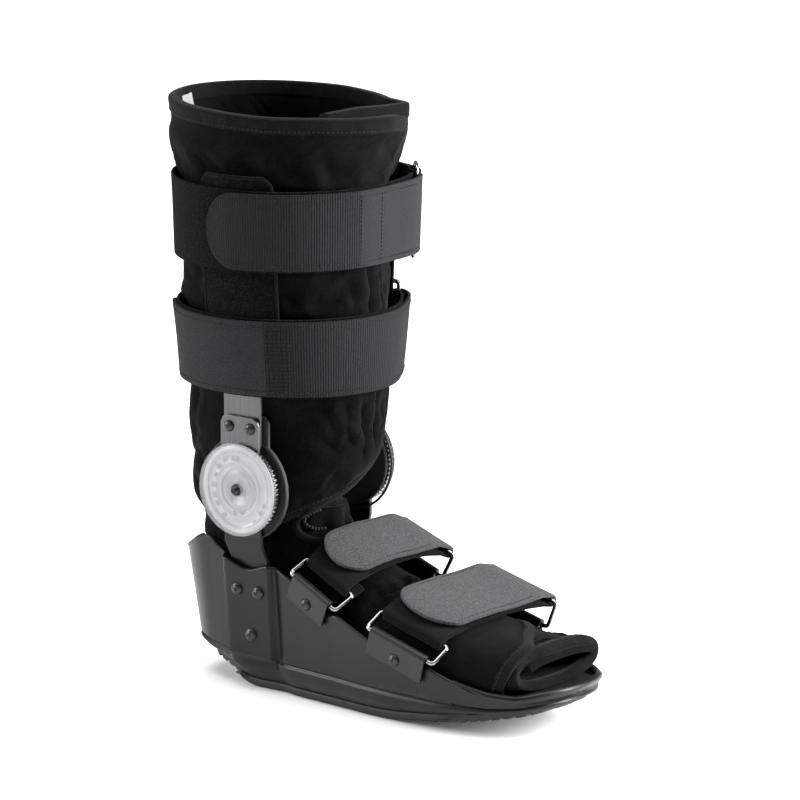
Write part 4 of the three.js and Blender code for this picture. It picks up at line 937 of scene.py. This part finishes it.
# Cleaned copies of the solids. The tread is narrowed behind the toes, to lie within the bands
outsole = refine("outsole", RUBBER, bevel=0.35, name="outsole_tread")
for v in outsole.data.vertices:
    v.co.y *= 1 - 0.035 * (1 - step(v.co.x / MM, 140, 180))
refine("footbed", BOARD, bevel=0.6, name="footbed_board")
for side in ("near", "far"):
    refine(f"stirrup_bar_{side}", STEEL, bevel=0.6, angle=40)
    refine(f"hinge_plate_{side}", SILVER, bevel=0.5, angle=40)
    refine(f"upright_{side}", SILVER, bevel=0.4, angle=40)
    refine(f"hinge_pad_{side}", FOAM, bevel=0.8, angle=40)
    if side == "far":
        for v in scene.objects["hinge_pad_far_piece"].data.vertices:
            v.co.x *= 0.9
            v.co.z = HINGE * MM + (v.co.z - HINGE * MM) * 0.9
    for k in ("rear", "front"):
        refine(f"ring_tab_{k}_{side}", TAB, bevel=0.3, angle=32)

# Domed rivets
def dome(name, cad, scale=1.12):
    low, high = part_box(cad)
    source = nodes[cad].data
    co = np.array([v.co for v in source.vertices]) / MM
    middle = co.mean(0)
    _, _, axes = np.linalg.svd(co - middle)
    face = axes[2] * (1 if axes[2][1] * middle[1] > 0 else -1)
    base = middle + face * ((co - middle) @ face).min()
    tall = ((co - middle) @ face).max() - ((co - middle) @ face).min()
    radius = np.abs((co - middle) @ axes[0]).max() * scale
    s, t = axes[0], np.cross(face, axes[0])
    profile = [(1.0, -0.15), (1.0, 0.1), (0.97, 0.3), (0.88, 0.55), (0.72, 0.78), (0.5, 0.93),
            (0.25, 1.0)]
    verts, faces, m = [], [], 28
    for r, h in profile:
        for k in range(m):
            a = 2 * math.pi * k / m
            verts.append(base + face * h * tall + radius * r * (math.cos(a) * s + math.sin(a) * t))
    faces = grid_faces(len(profile), m, False, True)
    verts.append(base + face * tall * 1.02)
    last, top = (len(profile) - 1) * m, len(verts) - 1
    faces += [(last + k, last + (k + 1) % m, top) for k in range(m)]
    mesh_piece(name, verts, faces, RIVET, slot="rivet", replaces=[cad])


for side in ("near", "far"):
    for k in ("rear", "front", "low"):
        dome(f"pocket_rivet_{k}_{side}", f"shell_rivet_{k}_{side}", 1.1)
    for k in ("rear", "front"):
        dome(f"tab_dome_{k}_{side}", f"tab_rivet_{k}_{side}", 1.0)
        dome(f"plate_dome_{k}_{side}", f"plate_rivet_{k}_{side}", 0.95)
    dome(f"hinge_pin_head_{side}", f"hinge_pin_{side}", 0.95)


# Hinge dials: round pieces on the hinge's axis, given as radius and distance out from the leg
def lathe(name, profile, sign, mats, segments=72, **more):
    verts = []
    for r, out in profile:
        for k in range(segments):
            a = 2 * math.pi * k / segments
            verts.append((r * math.cos(a), sign * out, HINGE + r * math.sin(a)))
    return mesh_piece(name, verts, grid_faces(len(profile), segments, False, True), mats, **more)


def mark(verts, faces, outline, low, high, sign):
    """Adds a flat-topped mark from an outline about the hinge's axis, between two distances."""
    n, base = len(outline), len(verts)
    for out in (low, high):
        verts += [(x, sign * out, HINGE + z) for x, z in outline]
    faces += [(base + k, base + (k + 1) % n, base + n + (k + 1) % n, base + n + k)
              for k in range(n)]
    faces.append(tuple(base + n + k for k in range(n)))


# Profiles of the disc and its clear cover
DISC = [
    (0.2, 61.3), (9, 61.3), (9.4, 62.0), (11.2, 62.0), (11.6, 61.3), (16.6, 61.3), (17, 61.8),
    (17.8, 61.8), (18.2, 61.3), (24.4, 61.3), (24.8, 61.9), (28.4, 61.9), (28.6, 60.2), (0.2, 60.2)]
COVER = [
    (4.2, 62.2), (28.0, 62.2), (29.6, 61.8), (30, 62.2), (30, 63.6), (29.2, 64.6), (27.6, 65.1),
    (26.8, 64.9), (26.4, 64.5), (13.5, 64.4), (13, 64.8), (11, 64.8), (10.5, 64.3), (4.2, 64.3),
    (4.2, 62.2)]

# Holes in the disc, each at a radius and a turn, and their own radius
HOLE = 1.8
HOLES = [(19, 158), (20, 178), (20, 197), (20, 213), (21.2, 238), (15.6, 261), (14.6, 283),
        (24, 305), (22.5, 325), (23, 340), (21, 120), (20, 140)]
for side, sign in SIDES:
    lathe(f"dial_disc_{side}", DISC, sign, DIAL, slot="dial_white", replaces=[f"dial_{side}"])
    lathe(f"dial_clear_{side}", COVER, sign, CLEAR, slot="clear_cover",
          replaces=[f"dial_cover_{side}"])
    marks_v, marks_f = [], []
    for r, a in HOLES:
        x, z = r * math.cos(math.radians(a)), r * math.sin(math.radians(a))
        round_turns = [2 * math.pi * k / 12 for k in range(12)]
        outline = [(x + HOLE * math.cos(b), z + HOLE * math.sin(b)) for b in round_turns]
        mark(marks_v, marks_f, outline, 61.35, 61.75, sign)
    for a in list(range(-70, 80, 10)) + list(range(220, 262, 7)):
        b = math.radians(a)
        c, s = math.cos(b), math.sin(b)
        r0, r1, w = 25.6, (27.6 if a % 30 == 0 else 26.8), 0.2
        corners = ((r0, -w), (r1, -w), (r1, w), (r0, w))
        outline = [(r * c - t * s, r * s + t * c) for r, t in corners]
        mark(marks_v, marks_f, outline, 61.9, 62.08, sign)
    mark(marks_v, marks_f, [(-5, 18.2), (0.5, 18.2), (0.5, 21.2), (-5, 21.2)], 61.35, 61.9, sign)
    mesh_piece(f"dial_marks_{side}", marks_v, marks_f, DARK, smooth=False)
    for k, (r, w) in enumerate(((10.2, 0.7), (13.6, 0.3), (17.4, 0.5), (24.6, 0.5), (28.9, 0.4))):
        lathe(f"dial_line_{k}_{side}", [(r - w, 61.2), (r - w, 62.1), (r + w, 62.1), (r + w, 61.2)],
                sign, RINGED)
    # Toothed ring behind the disc, with its two outer edges drawn in
    ring_v, teeth = [], 60
    for out, edge_in in ((57.0, 0.5), (57.3, 0.0), (60.2, 0.0), (60.6, 0.5)):
        for k in range(teeth * 4):
            a = 2 * math.pi * k / (teeth * 4)
            r = (29.6 if k % 4 < 2 else 28.7) - edge_in
            ring_v.append((r * math.cos(a), sign * out, HINGE + r * math.sin(a)))
    mesh_piece(f"dial_toothed_ring_{side}", ring_v, grid_faces(4, teeth * 4, False, True), TEETH,
            smooth=False)
    a = np.radians(np.linspace(212, 508, 70))
    line = np.stack([33.0 * np.cos(a), np.full(70, sign * 54.1), HINGE + 33.0 * np.sin(a)], -1)
    tube(f"pad_raised_line_{side}", line, 0.9, FOAM, sides=8, closed=False)

# Uprights' sleeves: padded pile covers with piping
def sleeve_grid(sign, out, nx=26, nz=60):
    rows_up = np.linspace(0.56, 0.899, nz)
    width = np.interp(rows_up, [0.56, 0.87, 0.888, 0.899], [1, 1, 0.95, 0.8])
    x = SLEEVE_SHIFT + np.linspace(-0.5, 0.5, nx)[:, None] * 50 * width[None]
    z = rows_up[None] * BOOT_HEIGHT + 0 * x
    c = (x - leg_middle(z)) / (leg_long(z) + 1)
    puff = 0.9 * (1 - np.abs(np.linspace(-1, 1, nx))[:, None] ** 4)
    puff = puff * np.maximum(step(z, 332, 336), 1 - step(np.abs(z - 263), 8, 14))
    return np.stack([x, sign * (leg_across(z) + out + puff) * np.sqrt(1 - c * c), z], -1)


for side, sign in SIDES:
    S = sleeve_grid(sign, SLEEVE_OUT + SLEEVE / 2)
    sleeve = sheet_piece(f"sleeve_{side}", S, SLEEVE, [PILE], rim=0.6, slot="pile",
            replaces=[f"upright_sleeve_{side}"])
    edge = np.vstack([S[0], S[1:-1, -1], S[-1, ::-1]])
    tube(f"sleeve_piping_{side}", edge + np.array([0, sign * 0.6, 0]), 1.1, BINDING, sides=8,
            closed=False)

# Leg straps
FOLD = WIRE + 2 * GAP + WEBBING / 2
LAYER = WEBBING + 2 * GAP
LIFT, APART = 3.5, 12
LEG_WEBS = [STRAP, PILE, SMOOTH_WEB, STRAP_FINE]
ease = lambda t: step(t, 0, 1)
near_turn = lambda t, bar, reach: ease(np.maximum(0, 1 - np.abs(t - bar) / reach))


def leg_strap(which, height, bar, tip, fine):
    """A strap round the leg at a height, from the ring's bars at one turn to its tip at another.
    The weave is finer over the range of turns in fine. Gives how places on its path are found."""
    name, width = "strap_" + which, 50
    front_bar, rear_bar = 360 + bar, bar + APART

    def edge(turn, z, out):
        a = math.radians(turn)
        long = leg_long(z) + 1 + WEBBING / 2
        across = leg_across(z) + SLEEVE_OUT + SLEEVE + 3 * GAP + WEBBING / 2
        face = unit(np.array([math.cos(a) / long, math.sin(a) / across, 0]))
        here = np.array([leg_middle(z) + long * math.cos(a), across * math.sin(a), z])
        return here + face * out, face

    def place(turn, out):
        (lo, face), (hi, _) = (edge(turn, height + end * width / 2, out) for end in (-1, 1))
        return (lo + hi) / 2, face, unit(hi - lo)

    at, up, half, kind = [], [], [], []

    def put(turn, out, h=width / 2, k=0):
        p, _, u = place(turn, out)
        at.append(p), up.append(u), half.append(h), kind.append(k)

    def round_bar(turn, sign, k):
        p, face, u = place(turn, LIFT + FOLD)
        ahead = np.array([-face[1], face[0], 0])
        for i in range(1, 10):
            t = math.pi * i / 10
            at.append(p - face * FOLD * math.cos(t) * sign + ahead * FOLD * math.sin(t) * sign)
            up.append(u), half.append(width / 2 - 0.4), kind.append(k)

    outer = lambda t, b, reach: LAYER + near_turn(t, b, reach) * (LIFT + 2 * FOLD - LAYER)
    for more in (26, 23, 20, 17, 14, 11, 8, 5, 2):
        put(rear_bar + more, outer(rear_bar + more, rear_bar, 30), width / 2 - 0.5, 2)
    round_bar(rear_bar, -1, 2)
    for i in range(121):
        t = rear_bar + 2 + (front_bar - rear_bar - 4) * i / 120
        put(t, LIFT * (near_turn(t, rear_bar, 30) + near_turn(t, front_bar, 30)), width / 2 + 0.9,
                1 if i > 14 else 2)
    round_bar(front_bar, 1, 0)
    count = int(abs(front_bar - tip) / 1.6)
    for i in range(count + 1):
        share = i / count
        t = front_bar - 3 - (front_bar - 3 - tip) * share
        close = max(0, 1 - (t - tip) / 15)
        put(t, outer(t, front_bar, 34),
                (width / 2 - 0.4) * math.sqrt(max(1 - (close * 0.985) ** 2, 0.02)),
                3 if fine[0] < t < fine[1] else 0)
    at, up, half = np.array(at), np.array(up), np.array(half)
    nv = 11
    P = at[:, None] + up[:, None] * (np.linspace(-1, 1, nv)[None, :, None] * half[:, None, None])
    ahead = unit(np.gradient(at, axis=0))
    face = unit(np.cross(ahead, up))
    bow = 0.35 * noise((len(at), nv), 31, 14)
    P = P + face[:, None] * bow[..., None]
    mats_of = np.repeat(np.array(kind[:-1]), nv - 1)
    strap = sheet_piece(name, P, WEBBING, LEG_WEBS, face_mats=mats_of, slot="webbing",
            replaces=["leg_" + name])
    first = len(at) - count - 1
    # Stitching: a row along each edge of the tail
    f = face * np.sign((face * (at - np.array([LEG_CENTRE, 0, height]))).sum(1))[:, None]
    for k, share in (("low", -0.86), ("high", 0.86)):
        shift = up[first:-8] * (half[first:-8] * share)[:, None]
        row = at[first:-8] + shift + f[first:-8] * (WEBBING / 2 + 0.05)
        stitches(f"{name}_row_{k}", row, f[first:-8], pitch=2.6, length=1.8, radius=0.22)
    # Ring
    (fp, _, fu), (rp, _, ru) = (place(bar_turn, LIFT + FOLD) for bar_turn in (front_bar, rear_bar))
    short = rp - fp
    depth, long, corner = np.linalg.norm(short), width + 8, 2.6
    path = []
    for sx, sy, q in ((1, 1, 0), (-1, 1, 1), (-1, -1, 2), (1, -1, 3)):
        for k in range(7):
            t = math.pi / 2 * (q + k / 6)
            x = sx * (long / 2 - corner) + corner * math.cos(t)
            y = (sy * (depth / 2 - corner) + corner * math.sin(t)) / depth
            path.append((fp + rp) / 2 + short * y + fu * x * (0.5 - y) + ru * x * (0.5 + y))
    tube(name + "_ring", path, WIRE, CHROME, slot="wire", replaces=["leg_ring_" + which])
    return place


upper_place = leg_strap("upper", UPPER, 35, 266, (346, 400))
lower_place = leg_strap("lower", LOWER, 64, 200, (180, 296))


def patch_rows(name, place, rows_at, mat=PALE_THREAD):
    """Sewn rows across a leg strap at some turns."""
    half, out = 22.5, LAYER + 1.05
    for k, turn in enumerate(rows_at):
        p, face, up = place(turn, out)
        line = p + up * np.linspace(-half, half, 30)[:, None]
        stitches(f"{name}_{k}", line, np.repeat(face[None], 30, 0), pitch=2.6, length=1.6,
                radius=0.42, mat=mat)


patch_rows("upper_patch", upper_place, (345, 358))
patch_rows("lower_patch", lower_place, (296, 298.2, 300.4, 302.6, 304.8, 307), THREAD)

# Foot straps and their rings
def near_wall(x, z):
    a = (x + HEEL_BACK) / SOLE_LENGTH
    def face(at, h):
        half = np.interp(at, PLAN[:, 0], PLAN[:, 1]) * half_width
        fold = np.interp(at, SIDE[:, 0], SIDE[:, 2]) * HEEL_TOP
        return -(half + np.interp(at, SIDE[:, 0], SIDE[:, 4]) * (h - fold))
    here = np.array([x, face(a, z), z])
    ahead = np.array([x + 4, face(a + 4 / SOLE_LENGTH, z), z]) - here
    above = np.array([x, face(a, z + 4), z + 4]) - here
    return here, unit(np.cross(ahead, above))


def top_of(x):
    """Height of the shell's rim at a place along the foot."""
    return float(np.interp((x + HEEL_BACK) / SOLE_LENGTH, SIDE[:, 0], SIDE[:, 1])) * HEEL_TOP


# Each strap: where its ring starts and ends along the foot, how far both ends stand over the
# rim, its width and how far it bulges
FOOT_STRAPS = (("rear", 36, 71, (4, 4), 40, 8.5), ("front", 102, 153, (8, 4.5), 52, 5.5))
for name, x0, x1, rise, width, bulge in FOOT_STRAPS:
    xm = (x0 + x1) / 2
    here, facing = near_wall(xm, top_of(xm))
    drop = top_of(x1) + rise[1] - top_of(x0) - rise[0]
    ahead = near_wall(x1, here[2])[0] - near_wall(x0, here[2])[0]
    ahead[2] = drop
    ahead = unit(ahead)
    out = unit(facing - ahead * (facing @ ahead))
    bar = here + out * (3 * GAP - SHELL_WALL / 2)
    bar[2] = (top_of(x0) + rise[0] + top_of(x1) + rise[1]) / 2
    ends = {}
    for side, tilt in (("near", (0.1, 0.79, 0.6)), ("far", (0.05, 0.2, 0.97))):
        tilt = np.array(tilt)
        tilt = unit(tilt - ahead * (tilt @ ahead))
        start, line = bar.copy(), ahead.copy()
        depth = 15
        if side == "far":
            start[1], line[1] = -start[1], -line[1]
            tilt = unit(tilt - line * (tilt @ line))
            depth = 17
        centre = start + tilt * depth / 2
        path, corner = [], 2.5
        for sx, sy, q in ((1, 1, 0), (-1, 1, 1), (-1, -1, 2), (1, -1, 3)):
            for k in range(7):
                t = math.pi / 2 * (q + k / 6)
                x = sx * ((width + 4) / 2 - corner) + corner * math.cos(t)
                y = sy * (depth / 2 - corner) + corner * math.sin(t)
                path.append(centre + line * x + tilt * y)
        tube(f"ring_{name}_{side}", path, WIRE, CHROME, slot="wire",
                replaces=[f"foot_ring_{name}_{side}"])
        ends[side] = start + tilt * depth
    near, far = ends["near"], ends["far"]
    line, kind = [], []

    def arc(c, a, b, k):
        for i in range(12):
            t = a + (b - a) * i / 11
            line.append((c[1] + FOLD * math.cos(t), c[2] + FOLD * math.sin(t))), kind.append(k)
    for dy, dz in ((13, 4.2), (11, 3.2), (8.5, 2.0), (6, 1.0), (3, 0.3)):
        line.append((near[1] + dy, near[2] + dz - FOLD)), kind.append(2)
    arc(near, -1.3, -4.25, 2)
    span = far[1] - near[1]
    climb = far[2] - near[2] - 2 * FOLD
    inner = lambda s: near[2] + FOLD + climb * s + bulge * math.sin(math.pi * s) ** 0.6
    for i in range(34):
        s = 0.08 + 0.83 * i / 33
        line.append((near[1] + span * s, inner(s))), kind.append(2 if s < 0.17 else 1)
    arc(far, -1.55, 1.75, 0)
    tip_share = 0.035
    for i in range(50):
        s = 0.9 - (0.9 - tip_share) * i / 49
        open_ = ease(max(0, (s - 0.6) / 0.4))
        z = inner(s) + LAYER + open_ * (2 * FOLD - LAYER) + 2.5 * (1 - s) ** 2
        line.append((near[1] + span * s, z)), kind.append(0)
    line = np.array(line)
    share = np.clip((line[:, 0] - near[1]) / span, 0, 1)
    at = np.column_stack([near[0] + (far[0] - near[0]) * share, line])
    across = unit(np.column_stack([np.full(len(at), ahead[0]), ahead[1] * (1 - 2 * share),
            np.full(len(at), ahead[2])]))
    tail = np.arange(len(at)) >= len(at) - 50
    tip_y = at[-1, 1]
    close = np.where(tail, np.maximum(0, 1 - (at[:, 1] - tip_y) / 17), 0)
    off_ring = np.minimum(np.abs(at[:, 1] - near[1]), np.abs(far[1] - at[:, 1]))
    narrow = 1.5 * np.maximum(0, 1 - off_ring / 14)
    half = (width / 2 - narrow) * np.sqrt(np.maximum(1 - (close * 0.985) ** 2, 0.02))
    nv = 13
    wide = np.linspace(-1, 1, nv)[None, :, None] * half[:, None, None]
    P = at[:, None] + across[:, None] * wide
    face = unit(np.cross(unit(np.gradient(at, axis=0)), across))
    P = P + face[:, None] * (0.35 * noise((len(at), nv), 41, 14))[..., None]
    mats_of = np.repeat(np.array(kind[:-1]), nv - 1)
    strap = sheet_piece(f"foot_strap_{name}_web", P, WEBBING, [TAIL, PILE, SMOOTH_WEB],
            face_mats=mats_of, slot="webbing", replaces=[f"foot_strap_{name}"])
    run = float(np.linalg.norm(np.diff(at, axis=0), axis=1).sum())
    up_face = face * np.sign(face[:, 2:3])
    keep = np.nonzero(tail)[0][4:-6]
    for k, s in (("rear", -0.9), ("front", 0.9)):
        shift = across[keep] * (half[keep] * s)[:, None]
        row = at[keep] + shift + up_face[keep] * (WEBBING / 2 + 0.05)
        stitches(f"foot_strap_{name}_row_{k}", row, up_face[keep], pitch=2.6, length=1.8,
                radius=0.22, mat=PALE_THREAD)

# Bare white tag inside the top, at the rear near corner
TAG_HEIGHT = 24
tag_u, tag_v = np.meshgrid(np.linspace(0, 1, 14), np.linspace(0, 1, 18), indexing="ij")
tag_turn = 190 + 15 * tag_u
tag_z = 350 + TAG_HEIGHT * tag_v
T = leg_point(tag_turn, tag_z, LEG_WALL + 1.8 + 1.2 * (1 - tag_v))
T[..., 0] += 0.8 * np.sin(tag_u * 5)
tag = sheet_piece("tag", T, 0.6, [TAG], rim=0.1, slot="tag", replaces=["care_tag"])

# Floor and studio light
bpy.ops.mesh.primitive_plane_add(size=14, location=(0, 0, -0.0002))
floor = bpy.context.object
floor.name = "floor"
fm, ft, fs = material("floor_white", (0.93, 0.93, 0.93), 0.6)
ft.links.new(ramp(ft, noise_of(ft, 3, 2.0), (0.92, 0.92, 0.92), (0.94, 0.94, 0.94)),
        fs.inputs["Base Color"])
floor.data.materials.append(fm)
world = bpy.data.worlds.new("world")
scene.world = world
world.use_nodes = True
wt = world.node_tree
backdrop = wt.nodes["Background"]
backdrop.inputs["Color"].default_value = (1, 1, 1, 1)
backdrop.inputs["Strength"].default_value = 1.0
studio = node(wt, "ShaderNodeBackground", Color=(1, 1, 1, 1), Strength=0.2)
seen = node(wt, "ShaderNodeLightPath")
choice = node(wt, "ShaderNodeMixShader")
wt.links.new(seen.outputs["Is Camera Ray"], choice.inputs[0])
wt.links.new(studio.outputs[0], choice.inputs[1])
wt.links.new(backdrop.outputs[0], choice.inputs[2])
wt.links.new(choice.outputs[0], wt.nodes["World Output"].inputs["Surface"])


def area(name, place, at, size, power):
    d = bpy.data.lights.new(name, "AREA")
    d.shape, d.size, d.size_y, d.energy = "RECTANGLE", size[0], size[1], power
    o = bpy.data.objects.new(name, d)
    o.location = place
    o.rotation_euler = (Vector(at) - Vector(place)).to_track_quat("-Z", "Y").to_euler()
    scene.collection.objects.link(o)


sun = bpy.data.lights.new("overhead", "SUN")
sun.energy, sun.angle = 3.9, math.radians(61)
overhead = bpy.data.objects.new("overhead", sun)
scene.collection.objects.link(overhead)
area("left", (-1.5, -1.15, 0.85), (0, 0, 0.2), (0.7, 1.4), 45)
area("right", (1.55, 0.95, 0.8), (0, 0, 0.2), (0.6, 1.4), 135)
